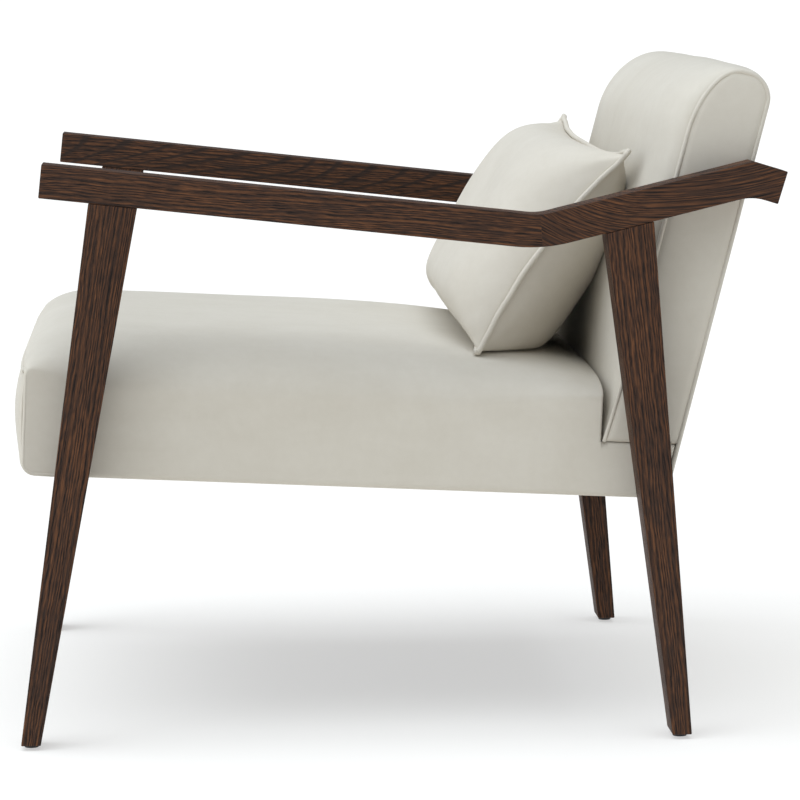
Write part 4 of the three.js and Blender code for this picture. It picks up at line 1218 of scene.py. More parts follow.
@dataclass
class SeatUpholstery:
    """The crowned seat: one cover over top and sides, a front band, the welt round it and the dust cover.

    Places are in the seat's own frame, whose origin is the lower front edge. Hills say how far apart the
    hills of the cloth's unevenness are, and a reach says how far something spreads from its line.
    """

    plan: ChairPlan
    side_height: float = 116.0
    crown: float = 40.0
    crown_rear_share: float = 0.22
    crown_full_share: float = 0.41
    bulge: float = 14.0
    bulge_sweep_share: float = 0.85
    band: float = 110.0
    roll: float = 62.0
    roll_pace: float = 1.6
    roll_steps: int = 18
    top_steps: int = 84
    lower_radius: float = 14.0
    edge_radius: float = 5.0
    edge_margin: float = 1.0
    edge_steps: int = 7
    groove_radius: float = 2.5
    shoulder: float = 26.0
    shoulder_run: float = 75.0
    shoulder_rear_share: float = 0.4
    shoulder_power: int = 6
    rail_back: float = 40.0
    end_setback: float = 5.6
    hair: float = 0.01
    across: int = 84
    level_steps: int = 18
    wall_steps: int = 26
    rear_wall_steps: int = 8
    tail_steps: int = 16
    lip_reaches: tuple[float, ...] = (0.0, 1.0, 8.0, 22.0)
    cloth: float = 2.4
    inside: Place = (320.0, 30.0)
    top_hollow: float = 1.6
    top_hills: float = 130.0
    side_hollow: float = 1.1
    side_hills: float = 105.0
    front_face: float = 2.0
    seam_face: float = 6.0
    seam_tuck: float = 1.3
    seam_tuck_reach: float = 5.0
    seam_pull: float = 0.9
    seam_pull_reach: float = 30.0
    pull_hills: float = 34.0
    band_inset: float = 3.4
    band_gap: float = 2.2
    band_steps: int = 40
    corner_steps: int = 8
    band_tuck: float = 1.6
    band_side_reach: float = 4.0
    band_top_reach: float = 5.0
    band_pull_reach: float = 22.0
    band_hills: float = 120.0
    welt_radius: float = 2.2
    welt_gap: float = 0.3
    welt_turn: float = 5.0
    welt_lead: tuple[Place, ...] = ((1.6, 1.6), (1.0, 1.8), (0.5, 2.2))
    welt_seat_share: float = 0.55
    welt_corner_steps: int = 6
    welt_side_steps: int = 15
    welt_turn_steps: int = 5
    welt_side_wander: float = 0.3
    welt_top_wander: float = 0.5
    dust_inset: float = 4.0
    dust_front: float = 1.0
    dust_rear: float = 7.0
    dust_level: float = 1.8
    dust_hang: float = 4.0
    dust_crease: float = 0.5
    dust_crease_hills: float = 70.0
    dust_spread: float = 300.0
    dust_steps: int = 40
    dust_cloth: float = 0.6
    above_dust: Place = (320.0, 60.0)

    def crown_at(self, y: float) -> float:
        """Reads the full crown.

        Args:
            y: Place along the seat.

        Returns:
            The crown's height there.
        """
        start = self.plan.seat_depth * self.crown_full_share
        past = max(0.0, (y - start) / (self.plan.seat_depth - start))
        return self.crown * (1.0 - (1.0 - self.crown_rear_share) * past**3)

    def shoulder_drop(self, u: float, y: float) -> float:
        """Reads how far the sides of the top roll down.

        Args:
            u: Share of half the width.
            y: Place along the seat.

        Returns:
            The drop there.
        """
        grown = min(1.0, max(0.0, y) / self.shoulder_run)
        left = min(1.0, max(0.0, self.plan.seat_depth - y) / (2 * self.shoulder_run))
        ending = blend_between(self.shoulder_rear_share, 1.0, left)
        rise = grown * grown * (3.0 - 2.0 * grown)
        return self.shoulder * ending * rise * (1.0 - soft_share(u, self.shoulder_power))

    def top_height(self, x: float, y: float) -> float:
        """Height of the seat's top at a place in its own frame."""
        u = min(1.0, abs(x) / self.plan.soft_half)
        return self.side_height + soft_share(u) * self.crown_at(y) - self.shoulder_drop(u, y)

    def bulge_at(self, height: float, share: float) -> float:
        """Place of the seat's front at a height, for a share of the full bulge."""
        return -self.bulge * share * math.sin(math.pi * self.bulge_sweep_share * height / self.band)

    def top_path(self, share: float) -> list[Place]:
        """Draws the top from the band's seam over the front roll to its rear edge.

        Args:
            share: Share of the full crown and bulge.

        Returns:
            Places along the seat and upwards.
        """
        line = [(self.bulge_at(self.band, share), self.band)]
        summit = self.side_height + share * self.crown_at(self.roll)
        for step in steps_between(0.0, 1.0, self.roll_steps):
            run = step**self.roll_pace
            y = blend_between(self.bulge_at(self.band, share), self.roll, run)
            line.append((y, blend_between(self.band, summit, math.sqrt(1.0 - (1.0 - run) ** 2))))
        fine = self.edge_radius + self.edge_margin
        spread = steps_between(self.roll, self.plan.seat_depth - fine, self.top_steps)
        spread += [self.plan.seat_depth - fine * (1 - step) ** 2
                   for step in steps_between(0.0, 1.0, self.edge_steps)]
        return line + [(y, self.side_height + share * self.crown_at(y)) for y in spread]

    def rear_at(self, height: float) -> float:
        """Reads the seat frame's slanting rear end.

        Args:
            height: Height in the seat's frame.

        Returns:
            The end's place along the seat.
        """
        depth = self.plan.back_thick - self.end_setback
        low, high = (self.plan.seat_frame.into(self.plan.back_frame.out(Vector((0.0, depth, z))))
                     for z in (0.0, self.plan.back_height))
        return low.y + (high.y - low.y) * (height - low.z) / (high.z - low.z)

    def lower_edge(self, y: float) -> float:
        """Height of the side's lower edge: rounded at the front, straight behind."""
        rest = min(self.lower_radius, max(0.0, self.lower_radius - y))
        return self.lower_radius - math.sqrt(self.lower_radius**2 - rest**2)

    def soften(self, place: Vector, outward: Vector, room: float) -> Vector:
        """Gives cloth its small unevenness: broad hollows, and a tuck towards the band's seam.

        Args:
            place: The place in the seat's frame.
            outward: The direction away from the padding.
            room: How far the broad hollows reach.

        Returns:
            The moved place.
        """
        above = place.z - self.band
        tuck = self.seam_tuck * nearness(above, self.seam_tuck_reach) if place.y < self.seam_face else 0.0
        near_seam = nearness(math.hypot(above, max(0.0, place.y)), self.seam_pull_reach)
        pull = self.seam_pull * near_seam * swell(Vector((place.x, 0.0, 0.0)), self.pull_hills, 4.0)
        return place - outward * (room * swell(place, self.top_hills, 2.0) + pull + tuck)

    @staticmethod
    def rounding(distance: float, radius: float) -> float:
        """How far a rounded edge draws in at a distance from where its two faces would meet."""
        rest = max(0.0, radius - max(0.0, distance))
        return radius - math.sqrt(radius**2 - rest**2)

    def side_inset(self, y: float, z: float) -> float:
        """Reads how far the side cloth lies inside the flat side.

        Args:
            y: Place along the seat.
            z: Height in the seat's frame.

        Returns:
            The inset in millimetres: rounded edges and shallow hollows.
        """
        inset = self.rounding(z - self.lower_edge(y), self.edge_radius) + self.rounding(y, self.groove_radius)
        depth, ledge = self.plan.seat_depth, self.plan.ledge
        if z >= ledge - self.hair:
            inset += self.rounding(max(0.0, depth - y), self.groove_radius)
        elif y >= depth - self.hair:
            inset += self.rounding(ledge - z, self.edge_radius)
        if y >= depth:
            inset += self.rounding(self.rear_at(z) - y, self.groove_radius)
        return inset + self.side_hollow * swell(Vector((0.0, y, z)), self.side_hills, 7.0)

    def at_side(self, u: float, y: float, z: float) -> Vector:
        """A place in the width that the side cloth leaves, for a share from -1 to 1 of it."""
        return Vector((u * (self.plan.soft_half - self.side_inset(y, z)), y, z))

    def levels(self, floor: float) -> list[float]:
        """Heights of the side's rows from its lower edge to the ledge, close together at both ends."""
        rise = self.plan.ledge - floor
        return [floor + rise * (1 + step) / 2 for step in eased(self.level_steps)]

    def tail_places(self, height: float) -> list[float]:
        """Places along the frame under the back at a height, closer together at its end."""
        shares = [1 - (1 - i / self.tail_steps) ** 2 for i in range(self.tail_steps + 1)]
        return [blend_between(self.plan.seat_depth, self.rear_at(height), share) for share in shares]

    def top_rows(self) -> Rows:
        """Grids the top, from the band's seam to its rear edge.

        Returns:
            Rows that run across the seat.
        """
        stations = eased(self.across)
        lines = [self.top_path(soft_share(u)) for u in stations]
        rows: Rows = []
        for places in zip(*lines):
            row = []
            for u, (y, z) in zip(stations, places):
                lift = Vector((0.0, -1.0 if y < self.front_face else 0.0, 1.0)).normalized()
                place = self.at_side(u, y, z - self.shoulder_drop(u, y))
                row.append(self.soften(place, lift, self.top_hollow * soft_share(u)))
            rows.append(row)
        return rows

    def side_panels(self, side: int, heads: Sequence[Vector]) -> list[Rows]:
        """Grids one side of the cover.

        Args:
            side: -1 for the right side and 1 for the left.
            heads: Places along the top's end on that side.

        Returns:
            The wall under the top, the tail under the back, and the lip that both turn in below.
        """
        wall: Rows = []
        for head in heads:
            heights = self.levels(self.lower_edge(head.y))
            heights += steps_between(self.plan.ledge, head.z, self.wall_steps)
            wall.append([*(self.at_side(side, head.y, z) for z in heights[:-1]), head.copy()])
        levels = self.levels(0.0)
        columns = [[self.at_side(side, y, z) for y in self.tail_places(z)] for z in levels]
        tail = [list(row) for row in zip(*columns)]
        lip = [[row[0] - Vector((side * reach, 0.0, 0.0)) for reach in self.lip_reaches]
               for row in wall + tail[1:]]
        return [wall, tail, lip]

    def cover_panels(self) -> list[Rows]:
        """Grids the cover.

        Returns:
            The top, both sides, the rear wall, the ledge and the end under the back.
        """
        depth, ledge = self.plan.seat_depth, self.plan.ledge
        stations = eased(self.across)
        top = self.top_rows()
        panels = [top]
        for side, end in ((-1, 0), (1, -1)):
            panels += self.side_panels(side, [row[end] for row in top])
        feet = [self.at_side(u, depth, ledge) for u in stations]
        rises = [0.0, *steps_between(0.0, 1.0, self.rear_wall_steps)[:-1]]
        panels.append([[Vector((foot.x, depth, blend_between(ledge, head.z, rise)))
                        for foot, head in zip(feet, top[-1])] for rise in rises] + [top[-1]])
        panels.append([[self.at_side(u, y, ledge) for u in stations] for y in self.tail_places(ledge)])
        panels.append([[self.at_side(u, self.rear_at(z), z) for u in stations] for z in self.levels(0.0)])
        return [[[self.plan.seat_frame.out(place) for place in row] for row in rows] for rows in panels]

    def band_sink(self, place: Vector, share: float) -> float:
        """Reads how far the band lies back: drawn in at its seams, with shallow hollows.

        Args:
            place: The place on the bulged band.
            share: Share of the full bulge there.

        Returns:
            The depth behind the bulged band.
        """
        from_side = self.plan.soft_half - self.band_inset - abs(place.x)
        below = self.band - place.z
        drawn = max(nearness(from_side, self.band_side_reach), nearness(below, self.band_top_reach))
        pull = swell(Vector((place.x, 0.0, 0.0)), self.pull_hills, 4.0)
        pull *= nearness(below, self.band_pull_reach)
        return self.band_tuck * drawn + share * swell(place, self.band_hills, 5.0) + pull

    def band_panel(self) -> Rows:
        """Grids the front band, from under the front rail up to the welt.

        Returns:
            Rows that run across the seat.
        """
        radius = self.lower_radius
        profile = [(self.rail_back, 0.0), (self.rail_back / 2, 0.0)]
        profile += [(radius * (1 - math.sin(a)), radius * (1 - math.cos(a)))
                    for a in quarter(self.corner_steps)]
        profile += [(0.0, z) for z in steps_between(radius, self.band - self.band_gap, self.band_steps)]
        rows: Rows = []
        for y, z in profile:
            row = []
            for u in eased(self.across):
                place = Vector((u * (self.plan.soft_half - self.band_inset), y, z))
                if y < radius:
                    share = soft_share(place.x / self.plan.soft_half)
                    place.y += self.bulge_at(z, share)
                    place.y += self.band_sink(place, share)
                row.append(self.plan.seat_frame.out(place))
            rows.append(row)
        return rows

    def welt_path(self) -> list[Vector]:
        """Draws the middle line of the welt.

        Returns:
            Places up one corner, across below the roll and down the other corner.
        """
        depth, turn = self.welt_radius + self.welt_gap, self.welt_turn
        side = self.plan.soft_half - depth
        rest = self.lower_radius - depth
        up = [Vector((side, self.rail_back * share, z)) for share, z in self.welt_lead]
        up += [Vector((side, self.lower_radius - rest * math.sin(a), self.lower_radius - rest * math.cos(a)))
               for a in quarter(self.welt_corner_steps)]
        for height in steps_between(self.lower_radius, self.band - turn, self.welt_side_steps):
            wander = self.welt_side_wander * flow(Vector((height, 0.0, 0.0)), 30.0, 1.0)
            up.append(Vector((side, depth + wander, height)))
        up += [Vector((side - turn * (1 - math.cos(a)), depth, self.band - turn * (1 - math.sin(a))))
               for a in quarter(self.welt_turn_steps)[1:]]
        across = []
        for u in eased(self.across)[-2:0:-1]:
            x = u * (side - turn)
            front = self.bulge_at(self.band, soft_share(x / self.plan.soft_half))
            wander = self.welt_top_wander * flow(Vector((x, 0.0, 0.0)), 60.0, 3.0)
            across.append(Vector((x, depth * self.welt_seat_share + front, self.band + wander)))
        mirrored = [Vector((-p.x, p.y, p.z)) for p in reversed(up)]
        return [self.plan.seat_frame.out(place) for place in [*up, *across, *mirrored]]

    def dust_span(self) -> tuple[float, float]:
        """Front and rear edge of the dust cover, along the seat."""
        return self.rail_back + self.dust_front, self.rear_at(0.0) - self.dust_rear

    def dust_panel(self) -> Rows:
        """Grids the thin dust cover under the frame, sagging a little between its staples.

        Returns:
            Rows that run across the seat.
        """
        front, rear = self.dust_span()
        half = self.plan.soft_half - self.dust_inset
        shares = [i / self.dust_steps for i in range(self.dust_steps + 1)]
        rows: Rows = []
        for v in shares:
            row = []
            for u in (2 * share - 1 for share in shares):
                hang = self.dust_hang * (1 - u**4) * (1 - (2 * v - 1) ** 4)
                where = Vector((u * self.dust_spread, v * self.dust_spread, 0.0))
                crease = self.dust_crease * flow(where, self.dust_crease_hills, 9.0) * (1 - u**4)
                place = Vector((u * half, blend_between(front, rear, v), self.dust_level - hang + crease))
                row.append(self.plan.seat_frame.out(place))
            rows.append(row)
        return rows

    def build(self, body: str, velvet: bpy.types.Material, lining: bpy.types.Material) -> None:
        """Makes and dresses the cover, the band, the welt and the dust cover.

        Args:
            body: The body that they move with.
            velvet: Finish of the cover, the band and the welt.
            lining: Finish of the dust cover.
        """
        middle = self.plan.seat_frame.out(Vector((0.0, *self.inside)))
        cover = Bench.cloth("seat_top_and_sides", self.cover_panels(), middle, self.cloth)
        dress(cover, velvet, body, "cover_cloth", "seat_cover", "seat_foam", "seat_felt")
        band = Bench.cloth("seat_band", [self.band_panel()], middle, self.cloth)
        dress(band, velvet, body, "cover_cloth", "seat_front_band")
        welt = Bench.welt("seat_band_welt", self.welt_path(), self.welt_radius)
        dress(welt, velvet, body, "cover_cloth", "seat_band_piping")
        above = self.plan.seat_frame.out(Vector((0.0, *self.above_dust)))
        dust = Bench.cloth("seat_dust_cover", [self.dust_panel()], above, self.dust_cloth)
        dress(dust, lining, body, "dust_cloth", "dust_cover")
        front, rear = self.dust_span()


# Back


@dataclass
class BackUpholstery:
    """The back: one wrap over front, top and rear, a boxed panel on each side, and a welt round each panel.

    Places are in the back's own frame, whose origin is its front foot: depth first and then height.
    """

    plan: ChairPlan
    height: float = 414.0
    roll_height: float = 82.0
    roll_depth: float = 44.0
    rear_roll: float = 30.0
    front_crown: float = 34.0
    crown_rise: float = 235.0
    top_crown: float = 5.0
    rear_crown: float = 1.4
    foot_push: float = 3.5
    foot_rise: float = 120.0
    flap: float = 57.0
    wall_steps: int = 40
    roll_steps: int = 20
    rear_roll_steps: int = 16
    flap_steps: int = 6
    across: int = 84
    cloth: float = 2.4
    wrap_inset: float = 3.6
    wrap_tuck: float = 1.8
    wrap_tuck_reach: float = 4.5
    wrap_pull: float = 0.9
    wrap_pull_reach: float = 26.0
    wrap_pull_hills: float = 30.0
    wrap_row_run: float = 5.0
    wrap_hollow: float = 1.8
    wrap_hills: float = 140.0
    panel_inset: float = 3.2
    panel_up: int = 110
    panel_across: int = 18
    panel_floor_gap: float = 0.5
    panel_top_gap: float = 4.0
    panel_tuck: float = 1.8
    panel_tuck_reach: float = 3.2
    panel_hollow: float = 0.9
    panel_hills: float = 90.0
    panel_fill: float = 0.8
    panel_fill_reach: float = 22.0
    panel_least: float = 0.1
    welt_radius: float = 2.4
    welt_gap: float = 0.3
    welt_wander: float = 0.25
    welt_wander_hills: float = 40.0
    welt_step_run: float = 6.0

    def floor_at(self, depth: float) -> float:
        """Height of the back's sloping foot at a depth."""
        return depth * math.tan(self.plan.back_recline - self.plan.seat_fall)

    def front_at(self, height: float, share: float) -> float:
        """Reads the back's front.

        Args:
            height: Height in the back's frame.
            share: Share of the full crown.

        Returns:
            The front's depth there.
        """
        grown = min(1.0, max(0.0, height) / self.crown_rise)
        low = max(0.0, 1.0 - max(0.0, height) / self.foot_rise)
        return -self.front_crown * share * (1.0 - (1.0 - grown) ** 2) - self.foot_push * low * low

    def line(self, share: float) -> list[Place]:
        """Draws the back from its front foot over the top to the end of the flap behind.

        Args:
            share: Share of the full crowns.

        Returns:
            Places in depth and height.
        """
        shoulder, start = self.height - self.roll_height, self.height - self.rear_roll
        thick, top = self.plan.back_thick, self.height + self.top_crown * share
        foot = self.floor_at(thick)
        heights = [0.0, *steps_between(0.0, shoulder, self.wall_steps)]
        places = [(self.front_at(height, share), height) for height in heights]
        places += [(blend_between(self.front_at(shoulder, share), self.roll_depth, 1 - math.cos(angle)),
                    blend_between(shoulder, top, math.sin(angle))) for angle in quarter(self.roll_steps)[1:]]
        crown = self.rear_crown * share
        places += [(blend_between(thick - self.rear_roll, thick + crown, math.sin(angle)),
                    blend_between(start, top, math.cos(angle))) for angle in quarter(self.rear_roll_steps)]
        places += [(thick + crown * (1 - step**2), blend_between(start, foot, step))
                   for step in steps_between(0.0, 1.0, self.wall_steps)]
        return places + [(thick, height) for height in steps_between(foot, -self.flap, self.flap_steps)]

    def wrap_panel(self) -> Rows:
        """Grids the wrap, tucked towards its two welts.

        Returns:
            Rows that run across the back.
        """
        half = self.plan.soft_half - self.wrap_inset
        stations = eased(self.across)
        lines = [self.line(soft_share(u)) for u in stations]
        last = len(lines[0]) - 1
        rows: Rows = []
        for j in range(last + 1):
            row = []
            for u, line in zip(stations, lines):
                place = Vector((u * half, *line[j]))
                way = direction(line[max(0, j - 1)], line[min(last, j + 1)])
                from_welt = (1 - abs(u)) * half
                along = Vector((0.0, j * self.wrap_row_run, 0.0))
                sink = self.wrap_tuck * nearness(from_welt, self.wrap_tuck_reach)
                sink += (self.wrap_pull * swell(along, self.wrap_pull_hills, 6.0 + math.copysign(2.0, u))
                         * nearness(from_welt, self.wrap_pull_reach))
                sink += self.wrap_hollow * swell(place, self.wrap_hills, 11.0) * soft_share(u)
                row.append(self.plan.back_frame.out(place + Vector((0.0, way[1], -way[0])) * sink))
            rows.append(row)
        return rows

    def panel_edges(self) -> tuple[list[Place], list[Place]]:
        """Draws the edges of a side panel, each from the foot to the middle of the top.

        Returns:
            The places of the front edge and of the rear edge, paired step by step.
        """
        line = drawn_in(self.line(0.0)[-self.flap_steps - 1::-1], self.panel_inset)[::-1]
        middle = self.wall_steps + self.roll_steps
        edges = []
        for part in (line[:middle + 1], line[:middle - 1:-1]):
            lengths = [0.0]
            for p, q in zip(part, part[1:]):
                lengths.append(lengths[-1] + math.dist(p, q))
            stops = [lengths[-1] * i / self.panel_up for i in range(self.panel_up + 1)]
            depths, heights = (np.interp(stops, lengths, values) for values in zip(*part))
            edges.append([(float(y), max(float(z), self.floor_at(float(y)) + self.panel_floor_gap))
                          for y, z in zip(depths, heights)])
        return edges[0], edges[1]

    def panel_rows(self, side: int) -> Rows:
        """Grids a side panel.

        Args:
            side: -1 for the right panel and 1 for the left.

        Returns:
            Rows that run from its front edge to its rear edge.
        """
        rows: Rows = []
        for front, rear in zip(*self.panel_edges()):
            row = []
            for share in ((1 + u) / 2 for u in eased(self.panel_across)):
                y, z = blend_between(front[0], rear[0], share), blend_between(front[1], rear[1], share)
                edge = min(min(share, 1 - share) * math.dist(front, rear), max(0.0, z - self.floor_at(y)),
                           max(0.0, self.height - self.panel_top_gap - z))
                sink = self.panel_tuck * nearness(edge, self.panel_tuck_reach)
                sink += self.panel_hollow * swell(Vector((side, y, z)), self.panel_hills, 13.0)
                sink -= self.panel_fill * min(1.0, edge / self.panel_fill_reach)
                x = side * (self.plan.soft_half - max(self.panel_least, sink))
                row.append(self.plan.back_frame.out(Vector((x, y, z))))
            rows.append(row)
        return rows

    def welt_path(self, side: int) -> list[Vector]:
        """Draws the middle line of a side's welt.

        Args:
            side: -1 for the right side and 1 for the left.

        Returns:
            Places from the flap behind over the top to the front foot.
        """
        depth = self.welt_radius + self.welt_gap
        x = side * (self.plan.soft_half - depth)
        path = []
        for i, (y, z) in enumerate(drawn_in(self.line(0.0)[::-1], depth)):
            along = Vector((0.0, i * self.welt_step_run, 0.0))
            wander = self.welt_wander * flow(along, self.welt_wander_hills, 15.0 + side)
            path.append(self.plan.back_frame.out(Vector((x, y + wander, z))))
        return path

    def build(self, body: str, velvet: bpy.types.Material) -> None:
        """Makes and dresses the wrap, the side panels and the welts.

        Args:
            body: The body that they move with.
            velvet: Their finish.
        """
        middle = self.plan.back_frame.out(Vector((0.0, self.plan.back_thick / 2, self.height / 2)))
        wrap = Bench.cloth("back_wrap", [self.wrap_panel()], middle, self.cloth)
        dress(wrap, velvet, body, "cover_cloth", "back_cover", "back_foam", "back_webbing")
        for side, word in ((1, "left"), (-1, "right")):
            panel = Bench.cloth(f"back_panel_{word}", [self.panel_rows(side)], middle, self.cloth)
            dress(panel, velvet, body, "cover_cloth", f"back_side_panel_{word}")
            welt = Bench.welt(f"back_welt_{word}", self.welt_path(side), self.welt_radius)
            dress(welt, velvet, body, "cover_cloth", f"back_piping_{word}")


# Cushion


@dataclass
class LooseCushion:
    """The loose knife-edge cushion with a piped seam, pressed a little into the seat and the back.

    A place on it is given by two shares from -1 to 1: a runs across it and b runs up it.
    """

    plan: ChairPlan
    seat: SeatUpholstery
    back: BackUpholstery
    width: float = 530.0
    height: float = 279.0
    front_loft: float = 74.0
    rear_loft: float = 77.0
    loft_power: float = 0.7
    front_fall: float = 0.17
    rear_fall: float = 0.15
    front_fill: float = 4.8
    front_head: float = 5.0
    rear_fill: float = 5.6
    front_end: float = 4.8
    rear_end: float = 3.6
    slump: float = 15.0
    perk: float = 14.0
    end_pull: float = 0.07
    edge_pull: float = 0.13
    corner: float = 0.012
    corner_power: int = 8
    bow: float = 11.0
    twist: float = math.radians(3.9)
    tilt: float = math.radians(0.7)
    sink: float = 6.0
    panel_room: float = 0.8
    held_run: float = 8.0
    noise_part: float = 60.0
    fold: float = 2.6
    fold_count: float = 11.0
    fold_start: float = 25.0
    fold_reach: float = 45.0
    pucker: float = 1.5
    pucker_hills: float = 17.0
    pucker_line: float = 9.0
    pucker_reach: float = 12.0
    hollow: float = 3.2
    hollow_hills: float = 120.0
    dent: float = 1.2
    dent_hills: float = 52.0
    piping: float = 3.0
    piping_sides: int = 5
    piping_room: float = 0.4
    piping_wander: float = 1.5
    piping_ring: float = 90.0
    piping_hills: float = 11.0
    gap: float = 0.3
    across: int = 110
    up: int = 70

    def sheet(self, a: float, b: float) -> Vector:
        """Reads the middle sheet, whose border is the seam.

        Args:
            a: Share across the cushion.
            b: Share up the cushion.

        Returns:
            The place about the cushion's middle.
        """
        rim = 2 * self.piping + self.gap
        blunt = 1 - self.corner * (a * b) ** self.corner_power
        x = a * blunt * (self.width / 2 - rim) * (1 - self.end_pull * a * a * (1 - b * b))
        z = b * blunt * (self.height / 2 - rim) * (1 - self.edge_pull * b * b * (1 - a**4))
        return Vector((x, -self.bow * a * a * (1 - b * b), z))

    def dome(self, a: float, b: float, fall: float, fill: float, head: float, end: float) -> float:
        """How full the padding is at a place, from 0 at the seam to 1.

        Args:
            a: Share across the cushion.
            b: Share up the cushion.
            fall: How far the padding has settled downwards.
            fill: How squarely it fills the lower part.
            head: How squarely it fills the upper part.
            end: How squarely it fills the ends.

        Returns:
            The share of the full loft.
        """
        settled = b + fall * (1 - b * b)
        upward = 1 - abs(settled) ** (head if settled > 0 else fill)
        return ((1 - abs(a) ** end) * upward) ** self.loft_power

    @cached_property
    def middle(self) -> Vector:
        """Middle of the piping's box on the chair."""
        low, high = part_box("cushion_piping")
        return (low + high) / 2 / MM

    def onto_chair(self, place: Vector, room: float) -> Vector:
        """Carries a place from the cushion onto the chair, and presses it clear of the seat and the back.

        Args:
            place: The place about the cushion's middle.
            room: Air to leave between it and the cloth behind or below.

        Returns:
            The place on the chair.
        """
        middle = self.middle
        share = place.x / (self.width / 2)
        lean = self.plan.cushion_lean + self.twist * share
        c, s = math.cos(lean), math.sin(lean)
        spot = Vector((place.x, middle.y + place.y * c + place.z * s,
                       middle.z - self.sink - place.y * s + place.z * c - math.tan(self.tilt) * place.x))
        across = soft_share(min(1.0, abs(spot.x) / self.plan.soft_half))
        behind = self.plan.back_frame.into(spot)
        behind.y = min(behind.y, self.back.front_at(behind.z, across) - room)
        below = self.plan.seat_frame.into(self.plan.back_frame.out(behind))
        below.z = max(below.z, self.seat.top_height(below.x, below.y) + room)
        return self.plan.seat_frame.out(below)

    def border(self) -> list[Place]:
        """Walks round the seam.

        Returns:
            Shares across and up, from the middle of the lower edge and back to it.
        """
        row, column = eased(self.across), eased(self.up)
        line = [(a, -1.0) for a in row[self.across // 2:]] + [(1.0, b) for b in column[1:]]
        line += [(a, 1.0) for a in reversed(row[:-1])] + [(-1.0, b) for b in reversed(column[:-1])]
        return line + [(a, -1.0) for a in row[1:self.across // 2 + 1]]

    def piping_path(self) -> list[Vector]:
        """Draws the middle line of the piping, just outside the seam and a little uneven.

        Returns:
            Places on the chair, from the middle of the lower edge and back to it.
        """
        places = [self.sheet(a, b) for a, b in self.border()]
        flat = drawn_in([(p.x, p.z) for p in places], -(self.piping + self.gap))
        path = []
        for i, ((x, z), p) in enumerate(zip(flat, places)):
            angle = 2 * math.pi * i / len(flat)
            ring = Vector((math.cos(angle), math.sin(angle), 0.0)) * self.piping_ring
            wander = self.piping_wander * flow(ring, self.piping_hills, 23.0)
            path.append(self.onto_chair(Vector((x, p.y + wander, z)), self.piping + self.piping_room))
        return path

    def gather(self, place: Vector) -> float:
        """Reads the small folds that run out from the corners.

        Args:
            place: The place about the cushion's middle.

        Returns:
            Their height there.
        """
        folds = 0.0
        for across in (-1, 1):
            for upward in (-1, 1):
                off_x = across * self.width / 2 - place.x
                off_z = upward * self.height / 2 - place.z
                reach, turn = math.hypot(off_x, off_z), math.atan2(off_z * upward, off_x * across)
                strength = min(1.0, reach / self.fold_start) * math.exp(-reach / self.fold_reach)
                folds += self.fold * strength * math.sin(self.fold_count * turn + 2.0 * across + upward)
        return folds

    def panel(self, side: int) -> Rows:
        """Grids one panel.

        Args:
            side: -1 for the panel in front and 1 for the one behind.

        Returns:
            Rows that run across the cushion, from its lower edge upwards.
        """
        loft, fall, fill, head, end = (
            (self.front_loft, self.front_fall, self.front_fill, self.front_head, self.front_end) if side < 0
            else (self.rear_loft, self.rear_fall, self.rear_fill, self.rear_fill, self.rear_end))
        rows: Rows = []
        for b in eased(self.up):
            row = []
            for a in eased(self.across):
                place = self.sheet(a, b)
                full = self.dome(a, b, fall, fill, head, end)
                inward = min((1 - abs(a)) * self.width / 2, (1 - abs(b)) * self.height / 2)
                along = Vector((place.x, side * self.noise_part, place.z))
                small = self.pucker * flow(along, self.pucker_hills, 17.0)
                small = small * nearness(inward - self.pucker_line, self.pucker_reach) + self.gather(place)
                broad = self.hollow * flow(along, self.hollow_hills, 19.0)
                broad += self.dent * flow(along, self.dent_hills, 21.0)
                place.y += side * ((loft + broad) * full + min(1.0, inward / self.held_run) * small)
                if side < 0:
                    place.z += full * (self.perk * max(0.0, b) - self.slump * max(0.0, -b))
                row.append(self.onto_chair(place, self.panel_room))
            rows.append(row)
        return rows

    def build(self, body: str, velvet: bpy.types.Material) -> None:
        """Makes and dresses the cushion and its piping.

        Args:
            body: The body that they move with.
            velvet: Their finish.
        """
        pad = Bench.cloth("loose_cushion", [self.panel(-1), self.panel(1)], self.middle)
        dress(pad, velvet, body, "cushion_cloth",
              "cushion_front_panel", "cushion_rear_panel", "cushion_filling")
        piping = Bench.welt("loose_cushion_piping", self.piping_path(), self.piping, self.piping_sides)
        dress(piping, velvet, body, "cushion_cloth", "cushion_piping")


# Hidden works


@dataclass
class HiddenWorks:
    """The rigid pieces inside the upholstery, which keep their solids and get a finish."""

    nodes: dict[str, bpy.types.Object]
    beech: PlainFinish = field(default_factory=lambda: PlainFinish(
        "raw_beech", (0.52, 0.35, 0.19), (0.60, 0.43, 0.26), 0.6, stretch=(9.0, 60.0, 60.0)))
    steel: PlainFinish = field(default_factory=lambda: PlainFinish(
        "zinc_plated_steel", (0.50, 0.51, 0.53), (0.62, 0.62, 0.60), 0.32, 1.0))

    def build(self) -> None:
        """Dresses every solid that still shows."""
        beech, steel = self.beech.material(), self.steel.material()
        metal = ("screw", "spring", "clip")
        for name, node in sorted(self.nodes.items()):
            finish = steel if any(word in name for word in metal) else beech
            node.data.materials.clear()
            node.data.materials.append(finish)
        LOG.info("hidden works: %d solids dressed", len(self.nodes))


# Studio


